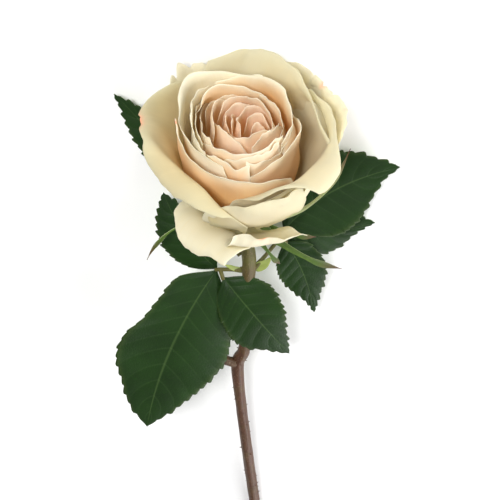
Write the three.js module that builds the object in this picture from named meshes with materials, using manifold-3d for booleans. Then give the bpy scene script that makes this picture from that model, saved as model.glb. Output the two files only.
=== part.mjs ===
import * as THREE from "three";
import { mergeVertices } from "three/addons/utils/BufferGeometryUtils.js";
import Module from "manifold-3d";

const wasm = await Module();
wasm.setup();
const { Manifold, Mesh } = wasm;

// A cut rose lying on its side: cream bloom, five sepals, three compound leaves, a long stem.
// Millimetres and degrees. X is across the rose, +Y runs along it towards the bloom, +Z is up.
const ORIGIN = [-4.55, 72.8, 0];
const NECK = [0, 0, 25];
const STEM_SLOPE = 6;
const HEAD_BEND = 20;
const HEAD_LENGTH = 56;
const STEM_SIDES = 12;
const PETAL_THICK = 0.62;
const LEAF_THICK = 0.8;
const GAP = 0.3;
const SMOOTHING = 0.19;
const PETIOLE_RADIUS = 1.05;
const FLOOR_REACH = 5;

const rad = (degrees) => (degrees * Math.PI) / 180;
const clamp = (x, a, b) => Math.min(b, Math.max(a, x));
const mix = (a, b, t) => a + (b - a) * t;
const add = (a, b, k = 1) => a.map((x, i) => x + k * b[i]);
const sub = (a, b) => a.map((x, i) => x - b[i]);
const dot = (a, b) => a[0] * b[0] + a[1] * b[1] + a[2] * b[2];
const length = (a) => Math.hypot(...a);
const unit = (a) => a.map((x) => x / (length(a) || 1));
const cross = (a, b) => [
  a[1] * b[2] - a[2] * b[1],
  a[2] * b[0] - a[0] * b[2],
  a[0] * b[1] - a[1] * b[0],
];

function smooth(a, b, x) {
  const t = clamp((x - a) / (b - a), 0, 1);
  return t * t * (3 - 2 * t);
}

// Turns indexed triangles into a solid, facing out.
function solid(points, triangles) {
  const mesh = new Mesh({
    numProp: 3,
    vertProperties: new Float32Array(points.flat()),
    triVerts: new Uint32Array(triangles.flat()),
  });
  mesh.merge();
  return new Manifold(mesh);
}

// A three.js geometry as a solid.
function fromGeometry(geometry) {
  geometry.deleteAttribute("normal");
  geometry.deleteAttribute("uv");
  const merged = mergeVertices(geometry, 1e-3);
  const mesh = new Mesh({
    numProp: 3,
    vertProperties: new Float32Array(merged.attributes.position.array),
    triVerts: new Uint32Array(merged.index.array),
  });
  return new Manifold(mesh);
}

// Thickens a grid of points by half the thickness to each side and closes its rim.
function shell(grid, thick) {
  const rows = grid.length;
  const cols = grid[0].length;
  const normal = (j, i) => {
    const along = sub(grid[Math.min(j + 1, rows - 1)][i], grid[Math.max(j - 1, 0)][i]);
    const over = sub(grid[j][Math.min(i + 1, cols - 1)], grid[j][Math.max(i - 1, 0)]);
    return unit(cross(over, along));
  };
  const points = [];
  for (const side of [1, -1]) {
    for (let j = 0; j < rows; j++) {
      for (let i = 0; i < cols; i++) {
        points.push(add(grid[j][i], normal(j, i), (side * thick) / 2));
      }
    }
  }
  const at = (side, j, i) => side * rows * cols + j * cols + i;
  const triangles = [];
  const quad = (a, b, c, d) => triangles.push([a, b, c], [a, c, d]);
  for (let j = 0; j < rows - 1; j++) {
    for (let i = 0; i < cols - 1; i++) {
      quad(at(0, j, i), at(0, j, i + 1), at(0, j + 1, i + 1), at(0, j + 1, i));
      triangles.push([at(1, j, i), at(1, j + 1, i + 1), at(1, j, i + 1)]);
      triangles.push([at(1, j, i), at(1, j + 1, i), at(1, j + 1, i + 1)]);
    }
  }
  for (let i = 0; i < cols - 1; i++) {
    quad(at(0, 0, i), at(1, 0, i), at(1, 0, i + 1), at(0, 0, i + 1));
    quad(at(0, rows - 1, i + 1), at(1, rows - 1, i + 1), at(1, rows - 1, i), at(0, rows - 1, i));
  }
  for (let j = 0; j < rows - 1; j++) {
    quad(at(0, j + 1, 0), at(1, j + 1, 0), at(1, j, 0), at(0, j, 0));
    quad(at(0, j, cols - 1), at(1, j, cols - 1), at(1, j + 1, cols - 1), at(0, j + 1, cols - 1));
  }
  return solid(points, triangles);
}

// The same grid with each edge carried on by a little, to cut a clearance that reaches past the rim.
function widened(grid, by) {
  const beyond = (edge, inner) => edge.map((x, k) => add(x, unit(sub(x, inner[k])), by));
  const rows = [beyond(grid[0], grid[1]), ...grid, beyond(grid.at(-1), grid.at(-2))];
  return rows.map((row) => {
    const out = (edge, inner) => add(edge, unit(sub(edge, inner)), by);
    return [out(row[0], row[1]), ...row, out(row.at(-1), row.at(-2))];
  });
}

// A round tube along a list of [point, radius], closed by flat ends.
function tube(path, sides = 8) {
  let side = unit(cross(sub(path[1][0], path[0][0]), [0.1, 0.2, 1]));
  const points = [];
  path.forEach(([centre, radius], j) => {
    const before = path[Math.max(j - 1, 0)][0];
    const after = path[Math.min(j + 1, path.length - 1)][0];
    const along = unit(sub(after, before));
    side = unit(add(side, along, -dot(side, along)));
    const third = cross(along, side);
    for (let i = 0; i < sides; i++) {
      const a = (2 * Math.PI * i) / sides;
      points.push(add(add(centre, side, radius * Math.cos(a)), third, radius * Math.sin(a)));
    }
  });
  const triangles = [];
  const last = (path.length - 1) * sides;
  for (let j = 0; j < path.length - 1; j++) {
    for (let i = 0; i < sides; i++) {
      const n = (i + 1) % sides;
      const low = j * sides;
      const high = low + sides;
      triangles.push([low + i, low + n, high + n], [low + i, high + n, high + i]);
    }
  }
  for (let i = 1; i < sides - 1; i++) {
    triangles.push([0, i + 1, i], [last, last + i, last + i + 1]);
  }
  return solid(points, triangles);
}

// A point on the smooth curve through three points, and a list of them.
function bend(from, via, to, t) {
  return from.map((x, i) => {
    const middle = 2 * via[i] - (x + to[i]) / 2;
    return (1 - t) ** 2 * x + 2 * t * (1 - t) * middle + t * t * to[i];
  });
}

function bentTube(from, via, to, thick, thin, steps = 5, sides = 8) {
  const path = [];
  for (let i = 0; i <= steps; i++) {
    path.push([bend(from, via, to, i / steps), mix(thick, thin, i / steps)]);
  }
  return tube(path, sides);
}

// Bloom coordinates, x right, y back, z along its axis, put in the part's frame: the head bends up from
// the stem.
function place([x, y, z]) {
  const slope = rad(STEM_SLOPE);
  const rate = rad(HEAD_BEND) / HEAD_LENGTH;
  const up = Math.max(z, 0);
  const down = Math.min(z, 0);
  const lean = slope + rate * up;
  return [
    NECK[0] + x,
    NECK[1] + (Math.sin(lean) - Math.sin(slope)) / rate + down * Math.cos(slope) + y * Math.sin(lean),
    NECK[2] + (Math.cos(slope) - Math.cos(lean)) / rate + down * Math.sin(slope) - y * Math.cos(lean),
  ];
}

// Eases what would pass through the table up onto it, at the given height.
function rest([x, y, z], low) {
  const k = FLOOR_REACH;
  const h = z - low;
  const eased = h > k ? h : h > -k ? (h + k) ** 2 / (4 * k) : 0;
  return [x, y, low + eased];
}

// The whole bloom is a little out of round, more so towards its rim.
function billow([x, y, z]) {
  const a = Math.atan2(y, x);
  const r = Math.hypot(x, y);
  const grow = smooth(8, 50, z) * smooth(3, 16, r);
  const more = grow * (0.9 * Math.sin(3 * a + 0.6) + 0.5 * Math.sin(5 * a + 2.2));
  return [x + more * Math.cos(a), y + more * Math.sin(a), z];
}

// A smooth curve through evenly spaced values, read at a share x of its length.
function through(values, x) {
  const n = values.length;
  const v = [2 * values[0] - values[1], ...values, 2 * values[n - 1] - values[n - 2]];
  const k = clamp(x, 0, 1) * (n - 1);
  const i = Math.min(Math.floor(k), n - 2);
  const t = k - i;
  const [a, b, c, d] = v.slice(i, i + 4);
  return 0.5 * (2 * b + (c - a) * t + (2 * a - 5 * b + 4 * c - d) * t ** 2 + (3 * b - a - 3 * c + d) * t ** 3);
}

// A petal's profile in the half plane of radius and height, at a share across its width: a curve from claw
// to rim, then the arc of its lip. Its rim, rise, lip and curl may be lists, spread evenly across the width.
function midline(p, across) {
  const at = (x) => (Array.isArray(x) ? through(x, across) : x);
  const rim = p.rim.map(at);
  const reach = Math.hypot(rim[0] - p.base[0], rim[1] - p.base[1]);
  const leave = rad(p.leave);
  const rise = rad(at(p.rise));
  const lip = at(p.lip);
  const curl = rad(at(p.curl));
  const b = [p.base[0] + p.belly * reach * Math.sin(leave), p.base[1] + p.belly * reach * Math.cos(leave)];
  const c = [rim[0] - 0.45 * reach * Math.sin(rise), rim[1] - 0.45 * reach * Math.cos(rise)];
  const line = [];
  for (let i = 0; i <= 60; i++) {
    const t = i / 60;
    line.push(
      [0, 1].map(
        (k) =>
          (1 - t) ** 3 * p.base[k] +
          3 * t * (1 - t) ** 2 * b[k] +
          3 * t * t * (1 - t) * c[k] +
          t ** 3 * rim[k],
      ),
    );
  }
  for (let i = 1; i <= 20; i++) {
    const a = rise + (curl * (i - 0.5)) / 20;
    const [r, z] = line[line.length - 1];
    line.push([r + (Math.sin(a) * lip) / 20, z + (Math.cos(a) * lip) / 20]);
  }
  const run = [0];
  for (let i = 1; i < line.length; i++) {
    run.push(run[i - 1] + Math.hypot(line[i][0] - line[i - 1][0], line[i][1] - line[i - 1][1]));
  }
  return { line, run, total: run[run.length - 1] };
}

// Radius, height and direction of a midline at a distance along it.
function along({ line, run, total }, s) {
  const d = clamp(s, 0, total - 1e-6);
  let i = run.findIndex((x) => x > d) - 1;
  i = clamp(i, 0, line.length - 2);
  const t = (d - run[i]) / (run[i + 1] - run[i]);
  const a = Math.atan2(line[i + 1][0] - line[i][0], line[i + 1][1] - line[i][1]);
  return [mix(line[i][0], line[i + 1][0], t), mix(line[i][1], line[i + 1][1], t), a];
}

const PETAL = {
  round: 1,
  base: [6, 0],
  leave: 62,
  rise: 0,
  belly: 0.42,
  lip: 3,
  curl: 25,
  spiral: 0,
  ruffle: 0.8,
  phase: 0,
  corner: 0.3,
  claw: 0.22,
  full: 0.72,
  lean: 0,
  crease: 0,
  off: [0, 0],
  low: 0.31,
};

// The grid of a petal's middle surface, wrapped round the bloom's axis. "margin" is its length across its
// width, from one side to the other, as shares of its midline.
function petalGrid(given, rows, cols) {
  const p = { ...PETAL, ...given };
  const mids = Array.from({ length: cols + 1 }, (_, i) => midline(p, i / cols));
  const turn = rad(p.az);
  const grid = [];
  for (let j = 0; j <= rows; j++) {
    const row = [];
    for (let i = 0; i <= cols; i++) {
      const u = -1 + (2 * i) / cols;
      const mid = mids[i];
      const even = 1 - p.corner * (1 - Math.sqrt(1 - 0.98 * u * u)) + 0.03 * Math.exp(-((u / 0.12) ** 2));
      const top = Math.min(p.margin ? through(p.margin, (u + 1) / 2) : even, 1);
      const s = (j / rows) * mid.total * top;
      const f = s / mid.total;
      const open = Math.sin((Math.PI / 2) * clamp(f / p.full, 0, 1)) ** 1.3;
      const half = p.half * (p.claw + (1 - p.claw) * open) * (1 - 0.12 * smooth(0.72, 1, f));
      const [r, z, a] = along(mid, s);
      const rho = Math.max(p.round * r, 2);
      const swing = (u * half) / rho;
      let out = r - rho + rho * Math.cos(swing);
      let across = rho * Math.sin(swing);
      const wave = 0.55 * Math.sin(4.1 * u + p.phase) + 0.45 * Math.sin(9.3 * u + 1.7 * p.phase + 2 * f);
      const d =
        p.spiral * u * smooth(0, 0.4, f) +
        p.ruffle * f ** 3 * wave +
        p.crease * (Math.exp(-((u / 0.22) ** 2)) - 0.3) * smooth(0.3, 1, f);
      out += d * Math.cos(a) * Math.cos(swing);
      across += d * Math.cos(a) * Math.sin(swing);
      const height = z - d * Math.sin(a) + (p.lean * across) / p.half;
      const g = smooth(0, 0.5, f);
      const x = out * Math.cos(turn) - across * Math.sin(turn) + p.off[0] * g;
      const y = out * Math.sin(turn) + across * Math.cos(turn) + p.off[1] * g;
      row.push(rest(place(billow([x, y, height])), p.low));
    }
    grid.push(row);
  }
  return grid;
}

// Round the bloom, az 0 is right, 90 towards the table, 180 left, 270 the front; rim is [radius, height].
const GUARDS = {
  guard_front_left: {
    az: 222, rim: [17.7, 2.5], half: 24.5, base: [6.9, -5.4], leave: 90, belly: 0.5, rise: 55, round: 1.7,
    lip: 20.4, curl: 112, ruffle: 1.2, phase: 0.5, lean: 1.9,
    margin: [0.63, 0.78, 0.91, 0.99, 1, 0.95, 0.98],
  },
  guard_front_right: {
    az: 290, rim: [23.8, 2.5], half: 18.6, base: [6.9, -4], leave: 92, belly: 0.5, rise: 88, round: 1.5,
    lip: 20, curl: -110, ruffle: 1, phase: 2.5, lean: -1.7, margin: [0.94, 1, 0.94, 0.89, 0.85, 0.79, 0.66],
  },
  guard_back_left: {
    az: 130, rim: [39.2, 48.3], half: 15.2, base: [6.9, -4], leave: 75, rise: 22, round: 1.2, lip: 5,
    curl: 50, ruffle: 1.6, phase: 1.5, lean: 1, margin: [0.88, 0.95, 0.95, 1, 0.94, 0.89, 0.81],
  },
  guard_right: {
    az: 14, rim: [[35, 39, 39.5, 38.5, 38], [44.5, 46, 46.5, 47, 46]], half: 24, base: [6.9, -4.8],
    leave: 75, rise: 25, lip: 4, curl: 40, full: 0.9, ruffle: 1.1, phase: 0.3,
    margin: [0.85, 0.97, 1, 1, 1],
  },
  guard_back: {
    az: 68, rim: [[38, 39.5, 39.5, 39, 37], [44, 46, 46, 45, 43]], half: 32, base: [6.9, -3.4], leave: 75,
    rise: 20, round: 1.1, lip: 4, curl: 40, ruffle: 0.9, phase: 0.9, low: 1.35,
    margin: [0.93, 1, 1, 1, 0.95],
  },
};

const OUTERS = {
  outer_left: {
    az: 196, rim: [[34, 39, 38, 36.8, 33, 34, 34.5], [46, 44, 47.5, 48.5, 46.5, 43, 30.5]], half: 45,
    base: [6.5, -2.4], rise: [25, 40, 45, 40, 28, 20, 12], lip: [5, 6, 7, 7, 14, 11, 4],
    curl: [30, 25, 25, 35, 172, 165, 60], full: 0.92, ruffle: 1.1, phase: 2.2,
    margin: [0.96, 1, 1, 1, 1, 1, 1],
  },
  outer_front: {
    az: 279, rim: [[34, 35, 35.5, 35.5, 36], [33, 39, 42.5, 42, 40.5]], half: 23, base: [6.3, -0.6],
    rise: 2, lip: 2, curl: 15, ruffle: 0.5, phase: 1.2, margin: [1, 1, 1, 1, 1],
  },
  outer_right: {
    az: 338.5,
    rim: [[32.5, 34, 33, 33.5, 34.5, 34, 33.5, 32.5, 31.5], [43, 46, 43.5, 45, 46, 47, 48, 49, 49]],
    half: 36.5, base: [6.5, -2], rise: [45, 45, 30, 28, 22, 18, 18, 18, 18],
    lip: [2, 3, 17, 18, 9, 4, 4, 4, 3], curl: [10, 30, 175, 175, 120, 50, 30, 30, 30], full: 0.9,
    ruffle: 0.8, phase: 1.9, margin: [0.96, 1, 1, 1, 1, 1, 0.98],
  },
  outer_back: {
    az: 40, rim: [[24.5, 24.5, 25, 28, 33, 37.5, 37], [41, 46, 51.5, 54, 52, 49.5, 49]], half: 55,
    base: [6.4, -0.6], rise: [5, 5, 6, 10, 20, 26, 24], lip: [2, 2, 3, 4, 5, 5, 5],
    curl: [10, 15, 20, 25, 30, 30, 30], ruffle: 0.8, phase: 2.9, low: 2.35,
    margin: [0.95, 1, 1, 1, 1, 1, 0.96],
  },
};

const CUPS = {
  cup_front: {
    az: 246, rim: [27.4, 50.2], half: 34.3, base: [6.2, 0.6], rise: -1, round: 1.05, phase: 0.1,
    ruffle: 0.6, lean: -5.6, margin: [0.98, 0.93, 0.91, 0.93, 0.96, 0.96, 0.84],
  },
  cup_back_left: {
    az: 154.6, rim: [26.8, 52.1], half: 42.6, base: [6.2, 1.2], rise: 4, round: 0.82, lip: 6, curl: 50,
    ruffle: 0.9, phase: 1.1, lean: -0.9, margin: [0.94, 0.95, 0.97, 0.98, 0.92, 0.9, 0.87],
  },
  cup_right: {
    az: 334.6, rim: [21.8, 49], half: 24.6, base: [6.1, 1.6], rise: 0, spiral: -0.6, phase: 2.1,
    ruffle: 0.5, lean: 3, margin: [0.92, 0.95, 0.96, 0.96, 0.96, 0.91, 0.8],
  },
  cup_back_right: {
    az: 45.5, rim: [19.2, 55], half: 28.7, base: [5.9, 2.6], rise: -2, spiral: 2, phase: 0.6, ruffle: 0.4,
    lean: 1.7, margin: [0.87, 0.92, 0.96, 1, 0.99, 0.96, 0.91],
  },
  cup_left: {
    az: 178.5, rim: [22, 52.7], half: 21, base: [5.9, 3], rise: -2, phase: 2.8, ruffle: 0.4,
    margin: [0.95, 0.98, 0.98, 0.97, 0.96, 0.96, 0.96],
  },
};

// Inside the cups the petals close in, each a step higher on the core; they gather round a heart that
// stands off the bloom's axis.
const RINGS = [
  { az: 234.8, rim: [21.7, 48], half: 17, lean: -2.1, margin: [0.92, 0.94, 0.94, 0.99, 1, 0.97, 1] },
  {
    az: 324.6, rim: [18.8, 47.5], half: 19.3, spiral: 0.8, lean: -3.1,
    margin: [0.94, 0.92, 0.88, 0.92, 0.97, 1, 0.98],
  },
  { az: 280.5, rim: [18.4, 48.7], half: 15.1, lean: 2.2, margin: [0.91, 0.97, 1, 1, 0.98, 0.95, 0.94] },
  {
    az: 86.7, rim: [16.7, 51.5], half: 23.2, spiral: 1.8, lean: 3.7,
    margin: [0.87, 0.91, 0.96, 0.99, 1, 1, 0.96],
  },
  {
    az: 171, rim: [20.6, 50.5], half: 17.5, spiral: -0.5, lean: 0.6,
    margin: [0.88, 0.91, 0.93, 0.94, 0.94, 0.94, 0.95],
  },
  {
    az: 22.3, rim: [14.9, 49.5], half: 12.8, spiral: 0.6, lean: 2.6,
    margin: [0.88, 0.9, 0.92, 0.93, 0.94, 0.94, 0.92],
  },
  { az: 268.2, rim: [17.9, 50.1], half: 23.4, lean: -2.3, margin: [0.84, 0.92, 0.96, 1, 1.01, 1.01, 0.99] },
  {
    az: 184.5, rim: [18.6, 49.8], half: 16.2, off: [0.4, 1.5],
    margin: [0.86, 0.89, 0.91, 0.92, 0.93, 0.96, 0.94],
  },
  {
    az: 107.5, rim: [15.7, 50.2], half: 14.4, off: [0.5, 1.5], spiral: 0.6,
    margin: [0.82, 0.89, 0.93, 0.93, 0.91, 0.91, 0.88],
  },
  {
    az: 325.4, rim: [12.6, 48.2], half: 11, off: [0.6, 2], lean: -1.1,
    margin: [0.91, 0.97, 0.98, 0.99, 0.98, 0.94, 0.84],
  },
  { az: 158, rim: [14, 48.8], half: 12, off: [0.8, 3] },
  {
    az: 39, rim: [10, 48.6], half: 12.5, off: [0.8, 3], lean: 3.3,
    margin: [0.95, 0.98, 0.99, 0.99, 0.98, 0.93, 0.84],
  },
  { az: 222, rim: [13, 47], half: 13, off: [1, 4] },
  { az: 292, rim: [10.6, 46.6], half: 13, off: [1, 4], round: 1.6, corner: 0.14 },
  { az: 112, rim: [11.2, 48.6], half: 11, off: [1, 4] },
];

function ringPetal(i) {
  const f = i / (RINGS.length - 1);
  const shared = { rise: -8, lip: 4, curl: -10, ruffle: 0.25, phase: i * 1.3 };
  return { ...shared, base: [mix(5.5, 2.4, f), mix(4.2, 15, f)], ...RINGS[i] };
}

// The heart: a scroll of small upright petals to the right and near flat ones, like pages, to the left.
const HEART = [
  { az: 95, rim: [7, 47], half: 10, off: [3.8, 5.5], base: [1.6, 15.5] },
  { az: 85, rim: [4.6, 46], half: 8, off: [5, 3.8], base: [1.3, 16] },
  { az: 90, rim: [2.4, 45], half: 4.5, off: [5.4, 1.8], base: [1, 16.5] },
  { az: 300, rim: [5, 44.5], half: 8, off: [3.4, 2], base: [1.2, 16] },
  { az: 182, rim: [3.6, 47], half: 6.5, off: [1, 4], base: [1.2, 16.3], round: 2.5, crease: 0.8 },
  { az: 176, rim: [6, 47.2], half: 7.5, off: [1, 4], base: [1.4, 16], round: 2, crease: -0.8 },
  { az: 184, rim: [8.4, 47.4], half: 8, off: [1, 4], base: [1.6, 15.7], round: 1.6, crease: 0.8 },
  { az: 110, rim: [9.4, 48.2], half: 8, off: [1, 4], base: [2, 15.4], round: 1.2 },
  { az: 235, rim: [9.2, 45.6], half: 8, off: [1, 4], base: [2, 15.2], round: 1.1 },
];

// A blade along a bent midrib. "halves" holds its greatest half width left and right of the midrib, seen from
// above, and "widths" gives each side's at nine even steps instead. "raise" lifts each edge, "wave" ripples
// the margin, and the teeth point forwards.
const BLADE = { up: [0, 0, 1], teeth: 9, depth: 1.1, raise: [0, 0], wave: 0.6, phase: 0, low: 0.4, cells: 4 };

function bladeOutline(t) {
  return Math.sin(Math.PI * clamp(t, 0, 1) ** 0.72) ** 0.85 * (1 - 0.35 * smooth(0.7, 1, t));
}

function sepalOutline(t) {
  return (1 - t) ** 0.8 * (1 - 0.45 * smooth(0.05, 0.4, t)) + 0.42 * Math.exp(-(((t - 0.78) / 0.13) ** 2));
}

function bladeStations(teeth) {
  const stations = [];
  for (let k = 0; k < teeth; k++) {
    stations.push(k / teeth, (k + 0.72) / teeth);
  }
  return [...stations, 1];
}

function bladeGrid(given, outline = bladeOutline, stations = bladeStations({ ...BLADE, ...given }.teeth)) {
  const p = { ...BLADE, ...given };
  return stations.map((t) => {
    const centre = bend(p.from, p.via, p.to, t);
    const ahead = unit(sub(bend(p.from, p.via, p.to, t + 0.02), bend(p.from, p.via, p.to, t - 0.02)));
    const right = unit(cross(ahead, p.up));
    const over = cross(right, ahead);
    const saw = (t * p.teeth) % 1;
    const fade = smooth(0, 0.15, t) * (1 - smooth(0.9, 1, t));
    const tooth = (saw < 0.721 ? saw / 0.72 : (1 - saw) / 0.28) * fade;
    const row = [];
    for (let i = 0; i <= p.cells; i++) {
      const u = -1 + (2 * i) / p.cells;
      const side = u < 0 ? 0 : 1;
      const half = Math.max(p.widths ? through(p.widths[side], t) : p.halves[side] * outline(t), 0.45);
      const edge = Math.abs(u) ** 6;
      const x = u * (half + p.depth * tooth * edge);
      const lift =
        p.raise[side] * u * u * outline(t) +
        p.wave * u * u * Math.sin(11 * t + p.phase + side * 2) * outline(t);
      const q = add(add(centre, right, x), over, lift);
      row.push(rest(add(q, ahead, p.depth * 0.9 * tooth * edge), p.low));
    }
    return row;
  });
}

// Each leaf: its petiole and rachis, three blades or one, and two narrow stipules at the stem.
const LEAVES = {
  leaf_left: {
    stalks: [
      [[-1, -33.6, 20.5], [-7.5, -33.2, 20.6], [-14, -34.6, 18.6]],
      [[-11.5, -34, 19.6], [-11, -36, 20.4], [-10.2, -38.5, 21]],
    ],
    blades: [
      {
        from: [-13.2, -34.6, 19], via: [-35.5, -72.5, 29], to: [-50, -123.5, 28],
        widths: [[0, 15.2, 22.2, 25.5, 27.2, 24, 18.2, 10.5, 0], [0, 13, 15.3, 17.6, 23, 22.8, 17, 10.8, 0]],
        raise: [-5, 3], up: [-0.1, 0, 1], teeth: 11, wave: 1.2,
      },
      {
        from: [-10.3, -37.6, 20.8], via: [4.2, -55.2, 26.5], to: [21.5, -81.8, 21.5],
        widths: [[0, 8.8, 13, 15, 14.2, 12.2, 7.8, 3.8, 0], [0, 9, 12.5, 14.5, 15.8, 16.5, 14.2, 6.5, 0]],
        raise: [-1, -1], up: [0.05, 0, 1], teeth: 10, phase: 1,
      },
      {
        from: [-13.2, -34.2, 18.7], via: [-27.4, -17.5, 15.5], to: [-37, 2.4, 11.5],
        widths: [[0, 7, 11.2, 12.4, 12.6, 11.2, 8.6, 4.4, 0], [0, 6.5, 10.5, 12, 11.8, 10.4, 7.5, 3.6, 0]],
        raise: [-1.5, 1], teeth: 10, phase: 2,
      },
    ],
    stipule: {
      from: [-2.8, -33.6, 20.8], via: [-5.4, -31.5, 22], to: [-9.5, -29.4, 22.6], halves: [1.5, 1.6],
    },
  },
  leaf_right: {
    stalks: [
      [[2.4, -34.5, 20.4], [10.5, -25.5, 18.2], [18.5, -15.6, 14.2]],
      [[15.5, -19, 15.9], [17, -20.4, 15.2], [19.2, -22.6, 13.6]],
    ],
    blades: [
      {
        from: [17.8, -16.2, 14.2], via: [39.5, 1.2, 8.4], to: [70.3, 12, 5],
        widths: [[0, 8, 13, 15.5, 16, 15.5, 12.2, 6, 0], [0, 12, 18.5, 20.5, 20.2, 18, 12, 4, 0]],
        raise: [-4, 1], teeth: 10, phase: 0.5,
      },
      {
        from: [18.2, -21.6, 14.2], via: [27.8, -41.6, 12.5], to: [33.8, -66.5, 8.5],
        widths: [[0, 7.5, 9.8, 11.2, 10.8, 8.5, 5.2, 2.2, 0], [0, 6, 9.5, 10.8, 10.8, 9.2, 5.5, 1.8, 0]],
        raise: [-0.6, -0.6], teeth: 9, phase: 2.5,
      },
      {
        from: [18.4, -21, 13.8], via: [38.5, -22.8, 5.6], to: [61.2, -18.4, 2.6],
        widths: [[0, 5.5, 8.5, 10.5, 11, 10.5, 8.5, 5, 0], [0, 6, 9, 10.5, 10.5, 8.8, 4.2, 1.2, 0]],
        raise: [0, -0.5], teeth: 8, phase: 1.5,
      },
    ],
    stipule: {
      from: [4.4, -32.4, 20.2], via: [8.4, -30.4, 20.4], to: [11.5, -26.2, 21.4], halves: [1.6, 1.7],
    },
  },
  leaf_back: {
    stalks: [[[-2.2, -25.5, 20], [-14, -13.5, 11], [-26.5, 4.5, 6.4]]],
    blades: [
      {
        from: [-25.6, 3.4, 6.6], via: [-40, 26, 4.4], to: [-57, 47, 3.8], halves: [9, 8],
        raise: [0, 0.8], teeth: 9, phase: 0.8,
      },
    ],
    stipule: {
      from: [-4, -24, 18.8], via: [-5.6, -20, 18], to: [-8.6, -16.4, 18.4], halves: [1.3, 1.4],
    },
  },
};

const SEPALS = {
  sepal_leafy: {
    from: [5.6, -6.4, 25.6], via: [24.5, -21.6, 25.2], to: [44.5, -30.7, 24],
    halves: [3.7, 3.7], up: [0, -0.5, 1],
  },
  sepal_right: {
    from: [6.3, -5.4, 24], via: [19.5, -10, 26.5], to: [31.8, -12.3, 26],
    halves: [3.2, 3.2], up: [0, -0.4, 1],
  },
  sepal_front: {
    from: [3, -7, 28.4], via: [10.5, -18.6, 28.5], to: [16, -29.3, 22],
    halves: [2.6, 2.6], up: [0, -0.4, 1],
  },
  sepal_back: {
    from: [5.2, -4.6, 20.4], via: [29, 1.2, 20.5], to: [45, 31, 25],
    halves: [3.2, 3.2], up: [0.5, -0.5, -0.5],
  },
  sepal_left: {
    from: [-6.4, -6.2, 23.6], via: [-30.4, -9.6, 22.2], to: [-45.2, -27.7, 21],
    halves: [3, 3], up: [0, -0.3, 1],
  },
};

// The stem's centre line from the neck back to the cut, and the pruned stub beside the knee.
const STEM_LINE = [
  [[0, -9, 24], 3.5],
  [[0.8, -16, 23.2], 3.2],
  [[1.8, -28.5, 21.8], 3.3],
  [[0.9, -51.5, 19.3], 2.75],
  [[-0.3, -76, 16.9], 2.75],
  [[-1.2, -85, 16.2], 3.1],
  [[-4, -93.5, 15.3], 3.2],
  [[-2.8, -119, 12.6], 2.85],
  [[0.7, -158, 8.5], 2.95],
  [[4.5, -198, 4.5], 3],
  [[6.2, -215, 2.9], 3],
];
const STUB = [[-4, -92, 15.6], [-8, -90, 17.2], [-12.2, -87, 18.4]];

// Half profile of the hip and the core that the petals stand on, [radius, height] in the bloom's frame.
const CORE = [
  [3.3, -15], [3.5, -12.6], [5.2, -10.6], [6.2, -8.4], [6.3, -5.5], [6.1, -2.6],
  [5.6, 0.6], [4.9, 3.4], [3.2, 9], [1.4, 15], [0.5, 17.2],
];

function stemPath(extra) {
  const points = STEM_LINE.map(([p]) => new THREE.Vector3(...p));
  const curve = new THREE.CatmullRomCurve3(points, false, "centripetal");
  const path = [];
  const steps = (STEM_LINE.length - 1) * 2;
  for (let i = 0; i <= steps; i++) {
    const k = Math.min(Math.floor(i / 2), STEM_LINE.length - 2);
    const radius = mix(STEM_LINE[k][1], STEM_LINE[k + 1][1], i / 2 - k);
    path.push([curve.getPoint(i / steps).toArray(), radius + extra]);
  }
  return path;
}

function core(extra) {
  const rows = CORE.map(([r, h]) => {
    const row = [];
    for (let i = 0; i < 16; i++) {
      const a = (2 * Math.PI * i) / 16;
      row.push(place([(r + extra) * Math.cos(a), (r + extra) * Math.sin(a), h]));
    }
    return row;
  });
  const triangles = [];
  const last = (CORE.length - 1) * 16;
  for (let j = 0; j < CORE.length - 1; j++) {
    for (let i = 0; i < 16; i++) {
      const n = (i + 1) % 16;
      const low = j * 16;
      triangles.push([low + i, low + n, low + 16 + n], [low + i, low + 16 + n, low + 16 + i]);
    }
  }
  for (let i = 1; i < 15; i++) {
    triangles.push([0, i + 1, i], [last, last + i, last + i + 1]);
  }
  const made = solid(rows.flat(), triangles);
  return made.volume() < 0 ? solid(rows.flat(), triangles.map(([a, b, c]) => [a, c, b])) : made;
}

// The stem ends on the table with a small flat along its underside.
function stem(extra = 0) {
  const floor = fromGeometry(new THREE.BoxGeometry(400, 400, 20)).translate([0, -100, -10]);
  return tube(stemPath(extra), STEM_SIDES)
    .add(bentTube(...STUB, 2.7 + extra, 2.3 + extra, 3, 9))
    .add(core(extra))
    .subtract(floor);
}

const root = new THREE.Group();
root.name = "cut_rose";

const CREAM = "#ead9b0";
const PEACH = "#eec9a0";
const BLUSH = "#dcae94";
const LEAF_GREEN = "#24401f";
const SEPAL_GREEN = "#6f8a35";
const STEM_BROWN = "#7d5a45";

function largest(body) {
  return body.decompose().reduce((a, b) => (a.volume() > b.volume() ? a : b));
}

function node(name, body, color) {
  const mesh = largest(body.translate(ORIGIN).simplify(SMOOTHING)).getMesh();
  const geometry = new THREE.BufferGeometry();
  geometry.setAttribute("position", new THREE.BufferAttribute(new Float32Array(mesh.vertProperties), 3));
  geometry.setIndex(new THREE.BufferAttribute(new Uint32Array(mesh.triVerts), 1));
  geometry.computeVertexNormals();
  const made = new THREE.Mesh(geometry, new THREE.MeshStandardMaterial({ color, roughness: 0.6 }));
  made.name = name;
  root.add(made);
}

// Petals are set from the core outwards. Where one would press into a petal already set, it gives way.
const set = [];

function fitted(whole) {
  const { min, max } = whole.boundingBox();
  let body = whole;
  for (const other of set) {
    const { box } = other;
    const apart = [0, 1, 2].some((k) => box.min[k] > max[k] + 1 || box.max[k] < min[k] - 1);
    if (!apart && body.minGap(other.body, GAP) < GAP * 0.8) {
      body = body.subtract(other.swollen);
    }
  }
  return largest(body);
}

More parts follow.
